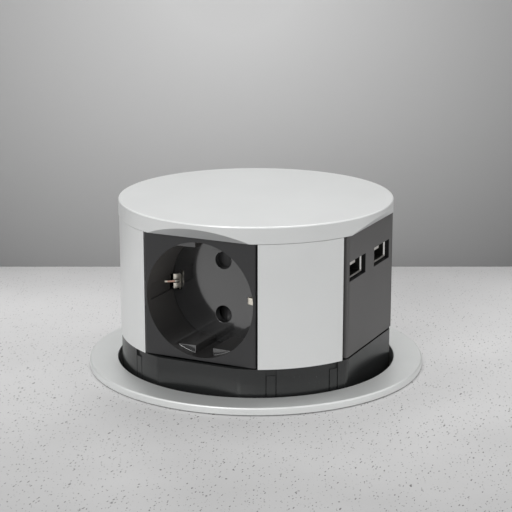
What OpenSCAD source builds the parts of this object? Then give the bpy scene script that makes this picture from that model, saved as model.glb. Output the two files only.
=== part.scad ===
/* [Worktop ring] */
// How far the trim ring reaches past the outside of the sleeve
ring_lap = 7; // [6.4:0.1:12]
// Thickness of the trim ring
ring_t = 2.5; // [2:0.1:4]
// Radius of the ring's rounded edges
ring_edge = 0.5; // [0.2:0.1:0.8]
// Gap all round between the tower's cap and the ring
ring_gap = 1.1; // [0.8:0.1:1.5]
// Length of the neck that goes down into the sleeve
neck_l = 5; // [3:0.5:8]
// Thickness of the neck
neck_t = 1; // [0.8:0.1:1.2]
// Width of the ring's rim outside the gasket's groove
gasket_rim = 1.2; // [1:0.1:2]
// Width of the foam gasket under the ring
gasket_w = 3.4; // [2:0.1:3.6]
// Thickness of the foam gasket when it is squeezed flat
gasket_t = 0.75; // [0.5:0.05:1]

/* [Tower] */
// How much the cap's round outline takes off the corners of a face plate
plate_trim = 0.18; // [0.1:0.02:0.4]
// Height of the cap's rim
cap_t = 5.8; // [5:0.1:8]
// Thickness of the cap's top plate
cap_skin = 1.8; // [1.2:0.1:2.5]
// Radius of the cap's top edge
cap_edge = 0.5; // [0.2:0.1:0.8]
// Height of the cap's top above the worktop, with the tower raised
raise_h = 60; // [58:0.5:66]
// Width of the face plate above and below a well
well_margin = 1.5; // [1.3:0.1:2.2]
// Width of the face plate beside a well
well_rim = 0.75; // [0.6:0.05:0.9]
// Thickness of a side panel
panel_t = 1.4; // [1:0.1:1.6]
// How far the side panels stand back from the cap's rim
panel_inset = 0.2; // [0.1:0.05:0.4]
// Gap between a side panel and the edge of a face plate
panel_gap = 0.6; // [0.4:0.1:0.8]
// Gap between a side panel and the edge of the USB plate
usb_gap = 1.4; // [1:0.1:1.6]
// Height of the seam under a face plate
plate_seam = 0.5; // [0.3:0.1:0.7]
// Thickness of a face plate
face_t = 2; // [1.6:0.1:2.4]
// How far the cap's slanted facet stands out past the face plate
facet_out = 0.5; // [0.2:0.1:0.9]
// Wall of the inner frame
frame_wall = 1.8; // [1.4:0.1:2.2]
// Thickness of the frame's top and bottom plates
frame_plate = 2; // [1.6:0.1:2.4]
// How far the skirt below the panels stands back from the cap's rim
skirt_inset = 0.4; // [0.2:0.1:0.6]
// Wall of the skirt
skirt_wall = 2; // [1.6:0.1:2.2]
// How far the skirt's flats stand out past the socket plates
skirt_ledge = 1.8; // [1.2:0.1:2.2]
// Length of the skirt that stays below the worktop's surface
skirt_below = 22; // [20:1:30]
// Thickness of the tower's floor plate
floor_t = 2.5; // [2:0.1:3]
// Width of a snap tab's window in the skirt
snap_w = 3.6; // [3:0.1:4]
// Height of the window above a snap tab
snap_h = 2.3; // [2:0.1:3]
// Angle from a side panel's middle to its snap tabs
snap_angle = 13.5; // [11:0.5:14]
// Depth of the window and of the slots beside a snap tab
snap_depth = 0.7; // [0.5:0.1:1]

/* [Mains sockets] */
// Diameter of a socket's round well
well_d = 39.5; // [39:0.1:39.6]
// Depth of the well
well_depth = 18; // [17.5:0.1:18.4]
// Wall of the well
well_wall = 1.2; // [1:0.05:1.3]
// Distance between the two pin holes
pin_pitch = 19; // [18.9:0.05:19.1]
// Diameter of a pin hole
pin_hole_d = 6; // [5.8:0.1:6.2]
// Diameter of a plug's pin, for the contacts
pin_d = 4.8; // [4.7:0.1:4.9]
// How far the guide flats stand into the round well
guide_in = 2.75; // [2.3:0.05:3.1]
// Depth at which the guide flats start
guide_depth = 3.4; // [3:0.1:4]
// Width of the slot between the guide flats
guide_slot = 6.4; // [5.8:0.1:7]
// Gap between the backs of two neighbouring wells
well_apart = 1.65; // [1.4:0.05:2]
// Thickness of the well's floor inside the well
base_plug = 2; // [1.8:0.1:2.4]
// Thickness of the floor's flange behind the well
base_flange = 1; // [0.8:0.1:1.4]
// Height of an earth clip
clip_h = 5.2; // [5:0.1:7]
// Thickness of an earth clip's strip
clip_t = 0.8; // [0.6:0.1:1]
// Thickness of a shutter
shutter_t = 2.4; // [2:0.1:2.6]
// Width of a shutter's arm
shutter_w = 7.6; // [7.2:0.1:8]

/* [USB ports] */
// Distance between the two ports
usb_pitch = 22; // [20:0.5:23]
// Height of the ports above the middle of the plate
usb_up = 8.8; // [6:0.1:10]
// How far the ports stand to the front of the plate's middle
usb_side = 1.2; // [0:0.1:1.3]
// Width of a port's metal shell
usb_w = 13.1; // [13:0.1:13.2]
// Height of a port's metal shell
usb_h = 5.7; // [5.6:0.1:5.8]
// Length of a port's metal shell
usb_l = 14; // [12:0.5:15]
// Gap round the shell in its window
usb_room = 0.45; // [0.3:0.05:0.5]
// How far the shell stands back from the plate's front
usb_recess = 0.8; // [0.5:0.1:1.2]
// Sheet thickness of the metal shell
usb_sheet = 0.35; // [0.3:0.05:0.5]

/* [Sleeve and clamp] */
// Wall of the threaded sleeve
sleeve_wall = 2.6; // [2.4:0.1:3]
// Rise of the sleeve's thread in one turn
thread_pitch = 4.5; // [4:0.5:6]
// Height of the thread's ridges
thread_h = 0.75; // [0.6:0.05:0.9]
// Width of a ridge along its crest
thread_crest = 1; // [0.8:0.1:1.3]
// Angle of each of the thread's four strips
thread_arc = 70; // [60:2:76]
// Thickness of the sleeve's bottom cover
base_t = 3; // [2.5:0.1:4]
// Thickness of the worktop that the clamp holds
worktop_t = 28; // [12:1:46]
// Height of the clamp nut
nut_h = 12; // [8:0.5:16]
// Radial width of the clamp nut's ring
nut_ring = 7.5; // [6:0.5:9]
// How far the nut's grip lugs stand out
nut_lug = 2.5; // [1.5:0.5:4]
// Thickness of the clamp washer
washer_t = 1.5; // [1:0.1:2]

/* [Lift] */
// Diameter of a guide rod
rod_d = 6; // [5:0.5:6.5]
// Wall of the bush that runs on a guide rod
bush_wall = 1.5; // [1.2:0.1:1.8]
// How far the bush's flange stands out
bush_lip = 2; // [1.6:0.1:2.2]
// Gap between the bush's flange and the skirt's wall
bush_gap = 0.9; // [0.6:0.1:1.3]
// Wire diameter of a lift spring
wire_d = 1.1; // [0.9:0.1:1.2]
// Mean diameter of a lift spring
spring_d = 9.2; // [9:0.1:9.6]
// Turns of a lift spring
spring_turns = 9; // [8:1:9]
// Tooth module of the damper gear
gear_module = 0.8; // [0.7:0.05:0.8]
// Teeth on a damper gear
gear_teeth = 15; // [14:1:15]
// Width of a damper gear
gear_w = 4.6; // [4:0.1:4.8]
// How far the racks' pitch lines stand in from the guide rods
rack_in = 1.7; // [1.2:0.1:2]
// Thickness of a rack behind its teeth
rack_back = 3.5; // [3:0.1:4]
// Radius of a damper's round body
damper_r = 7.5; // [6.5:0.1:8]
// Free height under the lowest piece of the lowered tower
closed_gap = 1.2; // [1:0.1:4]

/* [Cable inlet] */
// Bore of the cable gland
gland_bore = 8.4; // [7:0.2:9]
// Thread diameter of the cable gland
gland_d = 16; // [14:0.5:18]
// Distance from the sleeve's bore to the middle of the cable gland
gland_in = 18.6; // [17.6:0.2:20.6]

/* [Clearances] */
// Running clearance round a shaft or a pin
run_gap = 0.05; // [0.03:0.01:0.09]
// Clearance between pieces that are set into each other
set_gap = 0.15; // [0.1:0.05:0.25]
// Clearance round pieces that slide past each other
slide_gap = 0.3; // [0.3:0.05:0.5]

/* [Hidden] */
$fn = 64;
cut = 1;

// Heights, with the worktop's surface at zero and the tower raised
z_top = raise_h;
z_seam = z_top - cap_t;
panel_h = well_d + 2 * well_margin;
z_ledge = z_seam - panel_h;
z_mid = (z_seam + z_ledge) / 2;
z_skirt = -skirt_below;
z_floor = z_skirt - floor_t;
travel = raise_h - ring_t;

// The wells stand back to back, so their size gives the faces, and the faces give the cap
well_r = well_d / 2;
cup_r = well_r + well_wall;
face_w = well_d + 2 * well_rim;
face_dist = cup_r + well_apart + base_flange + base_plug + well_depth;
cap_r = sqrt(pow(face_dist, 2) + pow(face_w / 2, 2)) - plate_trim;
skirt_r = cap_r - skirt_inset;

// Radii of the ring, the cap and the sleeve
ring_hole = cap_r + ring_gap;
neck_r = ring_hole + neck_t;
bore_r = ring_hole + neck_t / 2;
sleeve_r = bore_r + sleeve_wall;
ring_d = 2 * (sleeve_r + ring_lap);
panel_r = cap_r - panel_inset;
frame_r = panel_r - panel_t - set_gap;
facet_dist = face_dist + facet_out;
skirt_flat = face_dist + skirt_ledge;
face_back = face_dist - face_t;
panel_edge = face_w / 2 + panel_gap;
usb_panel_edge = face_w / 2 + usb_gap;

// Directions of the faces and of the corners between them
SOCKETS = [0, -90, 180];
USB = 90;
CORNERS = [-45, 45, 135, 225];
RODS = [45, 225];
RACKS = [135, -45];

// Sockets, in layers from the face plate towards the tower's axis
floor_dist = face_dist - well_depth;
cup_end = floor_dist - base_plug;
flange_end = cup_end - base_flange;
shutter_dist = flange_end - slide_gap;
layer_gap = 0.2;
bar_dist = shutter_dist - shutter_t - layer_gap;
block_dist = bar_dist - clip_t - layer_gap;
block_w = 15;
block_apart = 2.2;
block_end = block_w / 2 + block_apart;
leg_gap = 2.2;
leg_t = 2;
leg_z = pin_pitch / 2 + shutter_w / 2 + leg_gap;
guide_flat = well_r - guide_in;
pivot_d = 3.6;
shutter_reach = pin_pitch / 2 + shutter_w / 2;
clip_in = 3.6;
contact_wall = 0.75;
contact_r = pin_d / 2 + contact_wall;

// Lift gear: the gear hangs under the tower's floor and rolls on a fixed rack
gear_r = gear_module * gear_teeth / 2;
gear_tip = gear_r + 0.9 * gear_module;
bush_r = rod_d / 2 + bush_wall;
bush_flange_r = bush_r + bush_lip;
rod_pos = skirt_r - skirt_wall - bush_flange_r - bush_gap;
rack_pos = rod_pos - rack_in;
gear_pos = rack_pos - gear_r;
gear_z = z_floor - max(gear_tip, damper_r) - slide_gap;
tooth_pitch = PI * gear_module;
backlash = 0.16;
axle_d = 3;
z_base = gear_z - damper_r - closed_gap - travel;
bush_flange_t = 2;
bush_up = 4;
bush_top = z_skirt + bush_up;
seat_h = 2;
z_spring0 = z_base + seat_h;
z_spring1 = z_floor - bush_flange_t;
rod_sink = 1.5;
stop_r = 5;
stop_t = 1.5;
z_rod = bush_top + slide_gap;
rack_side = 0.2;
rack_w = gear_w + 2 * rack_side;
rack_drop = 3.5;
z_rack = z_floor - rack_drop;
rack_room = 0.6;

// Latch under the tower
striker_l = 10;
striker_head = 3.5;
striker_r = 4;
neck_stem = 2.5;
z_catch = z_floor - striker_l + striker_head - travel;
jaw_x = 8;
jaw_z = z_base + 3.6;
jaw_w = 8;
jaw_pin = 2.4;
latch_wall = 1.8;

// Screws
screw_d = 2.9;
head_d = 5.6;
head_t = 1.8;
pillar_side = 6.5;
pillar_back = 4.6;
pillar_x = face_w / 2 - pillar_side;
pillar_dist = face_dist - pillar_back;
pillar_r = 3.4;
cap_screw_in = 4.75;
cap_screw_pos = frame_r - cap_screw_in;
boss_in = 3.2;
boss_pos = bore_r - boss_in;
boss_r = 3.6;
boss_h = 12;
boss_cover = 2;
screw_spare = 1;
stop_screw_l = 5;
spigot_t = 2;
spigot_h = 4;

// Cable gland
gland_pos = bore_r - gland_in;
gland_rim = 2;
gland_low = 14;
gland_up = 6;
gland_collar = 5;
gland_nose = 3;
gland_dome = 4;
locknut_h = 4;

// Terminal block and the hole for the supply's wires beside it
terminal_w = 28;
terminal_d = 12;
terminal_h = 13;
lead_gap = 7.8;
lead_pos = terminal_d / 2 + gland_bore / 2 + screw_spare + lead_gap;

// Clamp
z_clamp = -worktop_t;
clamp_bore = sleeve_r + slide_gap;

// Thread: it stops below a smooth collar, and its ridges start inside the sleeve's wall
thread_root = sleeve_r - thread_h;
thread_end = 3;
thread_sink = 0.5;
z_collar = -neck_l - 2;
z_thread = z_collar - thread_end;

SILVER = "#c9cccb";
BLACK = "#37383a";
DARK = "#242527";
STEEL = "#b8bcc0";
NICKEL = "#d2cdbf";
BRASS = "#c9a95a";
WHITE = "#e8e6df";
GREEN = "#2f6b48";

// Points on a round corner, from angle a0 to a1
function arc(x, y, r, a0, a1, n = 4) =
    [for (i = [0:n]) let (a = a0 + (a1 - a0) * i / n) [x + r * cos(a), y + r * sin(a)]];

// A round bar along the vertical axis between two heights
module rod(d, z0, z1) {
    translate([0, 0, z0]) cylinder(d = d, h = z1 - z0);
}

// A ring between two radii and two heights
module tube(r0, r1, z0, z1) {
    difference() {
        rod(2 * r1, z0, z1);
        rod(2 * r0, z0 - cut, z1 + cut);
    }
}

// A round bar along the front direction, between two distances from the axis
module bar_y(d, dist0, dist1) {
    translate([0, -dist1, 0]) rotate([-90, 0, 0]) cylinder(d = d, h = dist1 - dist0);
}

// A block from two corners
module block(low, high) {
    translate(low) cube(high - low);
}

// A profile of distance and height, drawn out sideways
module across(width) {
    translate([-width / 2, 0, 0]) rotate([90, 0, 90]) linear_extrude(width) children();
}

// A profile of distance and height, drawn out round a corner's own tangent
module along_corner(width) {
    rotate([90, 0, 0]) linear_extrude(width, center = true) children();
}

module turned(angles) {
    for (a = angles) rotate([0, 0, a]) children();
}

// A round prism with four flats: three for the sockets and one for the USB plate
module tower_outline(r, flat, usb_flat, z0, z1) {
    intersection() {
        rod(2 * r, z0, z1);
        block([-flat, -flat, z0], [usb_flat, flat, z1]);
    }
}

// Screws with their heads down, at the origin's height
module screw_up(length) {
    rod(head_d, -head_t, 0);
    rod(screw_d, -cut, length);
}

module flange_ring() {
    color(SILVER) rotate_extrude($fn = 128) polygon(concat(
        [[ring_hole, -neck_l], [ring_hole, ring_t - ring_edge / 2], [ring_hole + ring_edge / 2, ring_t]],
        arc(ring_d / 2 - ring_edge, ring_t - ring_edge, ring_edge, 90, 0),
        [[ring_d / 2, 0]],
        [[gasket_out, 0], [gasket_out, gasket_t + set_gap / 2]],
        [[gasket_in, gasket_t + set_gap / 2], [gasket_in, 0]],
        [[sleeve_r + set_gap, 0], [sleeve_r + set_gap, lip_z + set_gap]],
        [[neck_r, lip_z + set_gap], [neck_r, -neck_l]]
    ));
}
gasket_out = ring_d / 2 - gasket_rim;
gasket_in = gasket_out - gasket_w - 2 * set_gap;
lip_z = 0.6;

module flange_gasket() {
    color(DARK) tube(gasket_in + set_gap, gasket_out - set_gap, 0, gasket_t);
}

// Cross-section of one ridge of the thread
module thread_ridge(z) {
    foot = thread_crest / 2 + thread_h + thread_sink;
    polygon([
        [thread_root - thread_sink, z - foot], [sleeve_r, z - thread_crest / 2],
        [sleeve_r, z + thread_crest / 2], [thread_root - thread_sink, z + foot]
    ]);
}

// Four strips of ridges between the mould's partings, each a quarter of the pitch above the one before
module sleeve_thread() {
    for (k = [0:3]) {
        first = z_base + thread_end + thread_pitch * k / 4;
        rotate([0, 0, 45 + 90 * k - thread_arc / 2]) rotate_extrude(angle = thread_arc)
            for (z = [first:thread_pitch:z_thread]) thread_ridge(z);
    }
}

module outer_sleeve() {
    color(BLACK) difference() {
        union() {
            rotate_extrude() polygon([
                [bore_r, z_base], [thread_root, z_base], [thread_root, z_collar],
                [sleeve_r, z_collar + thread_h], [sleeve_r, lip_z], [bore_r, lip_z]
            ]);
            sleeve_thread();
            intersection() {
                turned([0, 90, 180, 270]) translate([boss_pos, 0, 0]) rod(2 * boss_r, z_base, z_base + boss_h);
                rod(2 * bore_r + sleeve_wall, z_base, z_base + boss_h);
            }
        }
        rod(2 * (neck_r + set_gap / 2), -neck_l - set_gap, lip_z + cut);
        turned([0, 90, 180, 270]) translate([boss_pos, 0, 0])
            rod(screw_d + 2 * run_gap, z_base - cut, z_base + boss_h - boss_cover);
    }
}

module sleeve_base() {
    spigot_r = bore_r - set_gap;
    color(BLACK) difference() {
        union() {
            rod(2 * sleeve_r, z_base - base_t, z_base);
            tube(spigot_r - spigot_t, spigot_r, z_base - cut, z_base + spigot_h);
            turned(RODS) translate([rod_pos, 0, 0]) rod(2 * bush_flange_r, z_base - cut, z_base + seat_h);
        }
        turned([0, 90, 180, 270]) translate([boss_pos, 0, 0]) {
            rod(2 * (boss_r + set_gap), z_base, z_base + spigot_h + cut);
            rod(screw_d + 2 * set_gap, z_base - base_t - cut, z_base + cut);
        }
        turned(RODS) translate([rod_pos, 0, 0]) rod(rod_d + 2 * run_gap, z_base - rod_sink, z_base + seat_h + cut);
        translate([0, -gland_pos, 0]) rod(gland_d + 2 * set_gap, z_base - base_t - cut, z_base + cut);
    }
}

module base_screws() {
    color(STEEL) turned([0, 90, 180, 270]) translate([boss_pos, 0, z_base - base_t])
        screw_up(base_t + boss_h - boss_cover - screw_spare);
}

module guide_rods() {
    color(STEEL) turned(RODS) translate([rod_pos, 0, 0]) difference() {
        rod(rod_d, z_base - rod_sink, z_rod);
        rod(screw_d + 2 * run_gap, z_rod - stop_screw_l - screw_spare, z_rod + cut);
    }
}

module rod_stops() {
    color(STEEL) turned(RODS) translate([rod_pos, 0, 0])
        tube(screw_d / 2 + set_gap, stop_r, z_rod, z_rod + stop_t);
}

module rod_stop_screws() {
    color(STEEL) turned(RODS) translate([rod_pos, 0, z_rod + stop_t]) mirror([0, 0, 1]) screw_up(stop_t + stop_screw_l);
}

// Height of a spring's wire after some turns: the first and last turns lie close
function spring_z(turn) =
    let (
        close = wire_d + 0.6,
        last = spring_turns - 1,
        free = z_spring1 - z_spring0 - wire_d,
        open = (free - 2 * close) / (spring_turns - 2)
    )
    z_spring0 + wire_d / 2
        + (turn < 1 ? close * turn : turn < last ? close + open * (turn - 1) : free - close * (spring_turns - turn));

// Rings of six points along the spring's wire, eight to a turn
SPRING_SIDES = 6;
SPRING_STEPS = 8;
spring_rings = spring_turns * SPRING_STEPS;
spring_points = [
    for (i = [0:spring_rings], k = [0:SPRING_SIDES - 1])
        let (
            a = 360 * i / SPRING_STEPS,
            b = 360 * k / SPRING_SIDES,
            r = spring_d / 2 + wire_d / 2 * cos(b)
        )
        [r * cos(a), r * sin(a), spring_z(i / SPRING_STEPS) + wire_d / 2 * sin(b)]
];
spring_faces = concat(
    [for (k = [1:SPRING_SIDES - 2]) [0, k, k + 1]],
    [for (k = [1:SPRING_SIDES - 2]) let (e = spring_rings * SPRING_SIDES) [e, e + k + 1, e + k]],
    [for (i = [0:spring_rings - 1], k = [0:SPRING_SIDES - 1], half = [0, 1])
        let (
            n = (k + 1) % SPRING_SIDES,
            p = i * SPRING_SIDES,
            q = p + SPRING_SIDES
        )
        half == 0 ? [p + k, q + k, p + n] : [p + n, q + k, q + n]]
);
spring_least_gap = min([for (i = [0:spring_rings - SPRING_STEPS])
    spring_z(i / SPRING_STEPS + 1) - spring_z(i / SPRING_STEPS)]) - wire_d;

module lift_springs() {
    echo(spring_least_gap = spring_least_gap);
    color(STEEL) turned(RODS) translate([rod_pos, 0, 0]) polyhedron(spring_points, spring_faces);
}

// Half width of a rack tooth, some way out from its pitch line
function rack_half(out) = tooth_pitch / 4 - backlash / 2 - out * tan(20);

module damper_racks() {
    add = 0.8 * gear_module;
    ded = 1.2 * gear_module;
    foot = z_base + run_gap;
    low = ceil((foot + 4 - gear_z) / tooth_pitch);
    high = floor((z_rack - 1 - gear_z) / tooth_pitch) - 1;
    color(WHITE) turned(RACKS) {
        along_corner(rack_w) polygon(concat(
            [[rack_pos + ded, foot]],
            [for (i = [low:high], p = [[ded, -1], [-add, -1], [-add, 1], [ded, 1]])
                [rack_pos + p[0], gear_z + (i + 0.5) * tooth_pitch + p[1] * rack_half(-p[0])]],
            [[rack_pos + ded, z_rack], [rack_pos + ded + rack_back, z_rack], [rack_pos + ded + rack_back, foot]]
        ));
        block([rack_pos, -rack_w - 1, foot], [rack_pos + ded + rack_back + 2, rack_w + 1, foot + 2.5]);
    }
}

module latch_body() {
    half = jaw_w / 2 + set_gap;
    reach = jaw_x + 4;
    color(DARK) {
        block([-reach, -half - latch_wall, z_base], [reach, half + latch_wall, z_base + 0.8]);
        for (s = [-1, 1]) scale([1, s, 1]) block([-reach, half, z_base], [reach, half + latch_wall, jaw_z + 3]);
        for (x = [-jaw_x, jaw_x]) translate([x, 0, jaw_z]) rotate([90, 0, 0])
            cylinder(d = jaw_pin, h = 2 * half + 1, center = true);
    }
}

// A jaw turns on its pin and hooks over the striker's head
module latch_jaw(side) {
    tip = z_catch + 0.5;
    open = striker_r + 0.9;
    color(STEEL) difference() {
        scale([side, 1, 1]) union() {
            translate([jaw_x, 0, jaw_z]) rotate([90, 0, 0]) cylinder(r = 2.4, h = jaw_w, center = true);
            rotate([90, 0, 0]) linear_extrude(jaw_w, center = true) polygon([
                [jaw_x - 1.6, jaw_z], [jaw_x - 1.6, tip], [open, tip], [open, tip + 1],
                [open + 1.2, tip + 2.4], [jaw_x + 1.6, tip + 1], [jaw_x + 1.6, jaw_z]
            ]);
        }
        translate([side * jaw_x, 0, jaw_z]) rotate([90, 0, 0])
            cylinder(d = jaw_pin + 2 * run_gap, h = jaw_w + 2, center = true);
    }
}
module latch_jaw_left() { latch_jaw(-1); }
module latch_jaw_right() { latch_jaw(1); }

module latch_striker() {
    z = z_floor - striker_l;
    color(DARK) rotate_extrude() polygon([
        [0, z_floor], [6, z_floor], [6, z_floor - 1.5], [neck_stem, z_floor - 2.5],
        [neck_stem, z + striker_head], [striker_r, z + striker_head], [striker_r, z + 2], [2, z], [0, z]
    ]);
}

// A six-sided collar across flats
module hex(flats, z0, z1) {
    translate([0, 0, z0]) cylinder(d = flats / cos(30), h = z1 - z0, $fn = 6);
}

module cable_gland() {
    color(DARK) translate([0, -gland_pos, 0]) difference() {
        union() {
            rod(gland_d, z_base - base_t - gland_low, z_base + gland_up);
            hex(gland_d + 2 * gland_rim, z_base - base_t - gland_collar, z_base - base_t);
        }
        rod(gland_bore, z_base - base_t - gland_low - cut, z_base + gland_up + cut);
    }
}

module gland_locknut() {
    color(DARK) translate([0, -gland_pos, 0]) difference() {
        hex(gland_d + 2 * gland_rim, z_base, z_base + locknut_h);
        rod(gland_d + 2 * set_gap, z_base - cut, z_base + locknut_h + cut);
    }
}

module gland_cap() {
    z0 = z_base - base_t - gland_low - gland_nose;
    z1 = z_base - base_t - gland_collar - 2 * layer_gap;
    color(DARK) translate([0, -gland_pos, 0]) difference() {
        union() {
            hex(gland_d + 2 * gland_rim, z0 + gland_dome, z1);
            translate([0, 0, z0])
                cylinder(d1 = gland_bore + 2 * gland_rim, d2 = gland_d + 2 * gland_rim, h = gland_dome);
        }
        rod(gland_d + 2 * set_gap, z_base - base_t - gland_low - set_gap, z1 + cut);
        rod(gland_bore, z0 - cut, z1);
    }
}

module clamp_washer() {
    color(DARK) tube(clamp_bore, clamp_bore + nut_ring + 1, z_clamp - washer_t, z_clamp);
}

module clamp_nut() {
    z1 = z_clamp - washer_t - 0.1;
    z0 = z1 - nut_h;
    lugs = 12;
    lug_w = 9;
    outer = clamp_bore + nut_ring;
    color(BLACK) difference() {
        union() {
            rod(2 * outer, z0, z1);
            turned([for (i = [0:lugs - 1]) 360 * i / lugs])
                block([outer - 2, -lug_w / 2, z0], [outer + nut_lug, lug_w / 2, z1 - 2]);
        }
        rod(2 * clamp_bore, z0 - cut, z1 + cut);
    }
}

module top_cap() {
    rim_in = cap_screw_pos - boss_r - 2 * layer_gap;
    slope = cap_r - facet_dist + 4;
    color(SILVER) difference() {
        rotate_extrude($fn = 128) polygon(concat(
            [[0, z_top]],
            arc(cap_r - cap_edge, z_top - cap_edge, cap_edge, 90, 0),
            [[cap_r, z_seam], [rim_in, z_seam], [rim_in, z_top - cap_skin], [0, z_top - cap_skin]]
        ));
        turned(concat(SOCKETS, [USB])) across(2 * face_w) polygon([
            [-facet_dist, z_seam], [-facet_dist - slope, z_seam + slope], [-facet_dist - slope, z_seam - cut],
            [-facet_dist, z_seam - cut]
        ]);
        turned(CORNERS) translate([cap_screw_pos, 0, 0])
            rod(screw_d + 2 * run_gap, z_seam - cut, z_top - cap_skin - 0.4);
    }
}

module cap_screws() {
    color(STEEL) turned(CORNERS) translate([cap_screw_pos, 0, z_seam - frame_plate])
        screw_up(frame_plate + cap_t - cap_skin - 1);
}

// A curved sheet that fills the corner between two faces, with its lower edge on the skirt
module side_panel(angle, edge_a, edge_b) {
    color(SILVER) intersection() {
        tube(panel_r - panel_t, panel_r, z_ledge, z_seam);
        rotate([0, 0, angle - 45]) block([edge_a, edge_b, z_ledge], [cap_r, cap_r, z_seam]);
    }
}
module side_panel_front_right() { side_panel(-45, usb_panel_edge, panel_edge); }
module side_panel_rear_right() { side_panel(45, panel_edge, usb_panel_edge); }
module side_panel_rear_left() { side_panel(135, panel_edge, panel_edge); }
module side_panel_front_left() { side_panel(225, panel_edge, panel_edge); }

module tower_frame() {
    inner = frame_r - frame_wall;
    frame_hole = 16;
    usb_post = 1.2;
    notch = 20;
    color(BLACK) difference() {
        tower_outline(frame_r, face_back, face_back, z_ledge, z_seam);
        rod(2 * inner, z_ledge + frame_plate, z_seam - frame_plate);
        rod(2 * frame_hole, z_ledge - cut, z_seam + cut);
        turned(SOCKETS) block([-notch / 2, -cap_r, z_ledge - cut], [notch / 2, -flange_end + cut, z_seam + cut]);
        turned(SOCKETS) translate([0, 0, z_mid]) bar_y(2 * (cup_r + run_gap + set_gap), flange_end - cut, cap_r);
        rotate([0, 0, USB]) block(
            [-face_w / 2 + usb_post, -cap_r, z_ledge + frame_plate],
            [face_w / 2 - usb_post, -flange_end, z_seam - frame_plate]);
        turned(RODS) translate([rod_pos, 0, 0]) rod(2 * (stop_r + rack_room), z_ledge - cut, z_ledge + frame_plate + cut);
        turned(RACKS) block(
            [rack_pos - gear_module - rack_room, -rack_w / 2 - rack_room, z_ledge - cut],
            [rack_pos + gear_module + rack_back + 2 * rack_room, rack_w / 2 + rack_room, z_ledge + frame_plate + cut]);
        turned(CORNERS) translate([cap_screw_pos, 0, 0])
            rod(screw_d + 2 * set_gap, z_seam - frame_plate - cut, z_seam + cut);
        turned(concat(SOCKETS, [USB])) translate([pillar_x, -pillar_dist, 0])
            rod(screw_d + 2 * run_gap, z_ledge - cut, z_ledge + frame_plate + cut);
    }
}

// The skirt is the lower shell: pillars inside it take the long screws that hold the tower together
module tower_skirt() {
    slot = 0.3;
    tab_l = 18;
    color(BLACK) difference() {
        union() {
            difference() {
                tower_outline(skirt_r, skirt_flat, face_dist, z_skirt, z_ledge);
                tower_outline(skirt_r - skirt_wall, skirt_flat - skirt_wall, face_dist - skirt_wall,
                    z_skirt - cut, z_ledge + cut);
            }
            intersection() {
                turned(concat(SOCKETS, [USB])) translate([pillar_x, -pillar_dist, 0]) {
                    rod(2 * pillar_r, z_skirt, z_ledge);
                    block([-pillar_r + 1, -cap_r + pillar_dist, z_skirt], [pillar_r - 1, 0, z_ledge]);
                }
                tower_outline(skirt_r - skirt_wall / 2, skirt_flat, face_dist - skirt_wall / 2, z_skirt, z_ledge);
            }
        }
        turned(concat(SOCKETS, [USB])) translate([pillar_x, -pillar_dist, 0])
            rod(screw_d + 2 * set_gap, z_skirt - cut, z_ledge + cut);
        for (corner = CORNERS, side = [-1, 1]) rotate([0, 0, corner + side * snap_angle]) {
            block([skirt_r - snap_depth, -snap_w / 2, z_ledge - snap_h], [cap_r, snap_w / 2, z_ledge + cut]);
            for (y = [-snap_w / 2, snap_w / 2 - slot]) block(
                [skirt_r - snap_depth, y, z_ledge - tab_l], [cap_r, y + slot, z_ledge]);
        }
    }
}

module tower_floor() {
    color(BLACK) difference() {
        tower_outline(skirt_r - 0.2, skirt_flat - 0.2, face_dist - 0.2, z_floor, z_skirt);
        turned(RODS) translate([rod_pos, 0, 0]) rod(2 * (bush_r + run_gap), z_floor - cut, z_skirt + cut);
        turned(RACKS) block(
            [rack_pos - gear_module - rack_room, -rack_w / 2 - rack_room, z_floor - cut],
            [rack_pos + gear_module + rack_back + 2 * rack_room, rack_w / 2 + rack_room, z_skirt + cut]);
        turned(concat(SOCKETS, [USB])) translate([pillar_x, -pillar_dist, 0])
            rod(screw_d + 2 * set_gap, z_floor - cut, z_skirt + cut);
        translate([0, -lead_pos, 0]) rod(gland_bore + 2 * screw_spare, z_floor - cut, z_skirt + cut);
    }
}

module floor_screws() {
    color(STEEL) turned(concat(SOCKETS, [USB])) translate([pillar_x, -pillar_dist, z_floor])
        screw_up(z_ledge + frame_plate - z_floor);
}

module guide_bushes() {
    color(WHITE) turned(RODS) translate([rod_pos, 0, 0]) {
        tube(rod_d / 2 + run_gap, bush_r, z_floor - bush_flange_t, bush_top);
        tube(rod_d / 2 + run_gap, bush_flange_r, z_floor - bush_flange_t, z_floor);
    }
}

// A rotary damper: a round oil-filled body, the axle of its gear and the ear at the axle's far end
module damper_bodies() {
    start = rack_w / 2 + 0.5;
    body_l = 7;
    ear = 2;
    color(DARK) turned(RACKS) {
        translate([gear_pos, start + body_l, gear_z]) rotate([90, 0, 0]) cylinder(r = damper_r, h = body_l);
        block([gear_pos - 5, start, gear_z], [gear_pos + 5, start + body_l, z_floor]);
        translate([gear_pos, start + 1, gear_z]) rotate([90, 0, 0]) cylinder(d = axle_d, h = 2 * start + ear);
        block([gear_pos - 4, -start - ear, gear_z - 4], [gear_pos + 3, -start, z_floor]);
    }
}

// Angle between a tooth's middle and its flank, at some radius from the gear's axis
function tooth_angle(r) =
    let (
        base = gear_r * cos(20),
        turn = acos(min(1, base / max(base, r))),
        start = 90 / gear_teeth - backlash / 2 / gear_r * 180 / PI + tan(20) * 180 / PI - 20
    )
    start - (tan(turn) * 180 / PI - turn);

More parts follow.
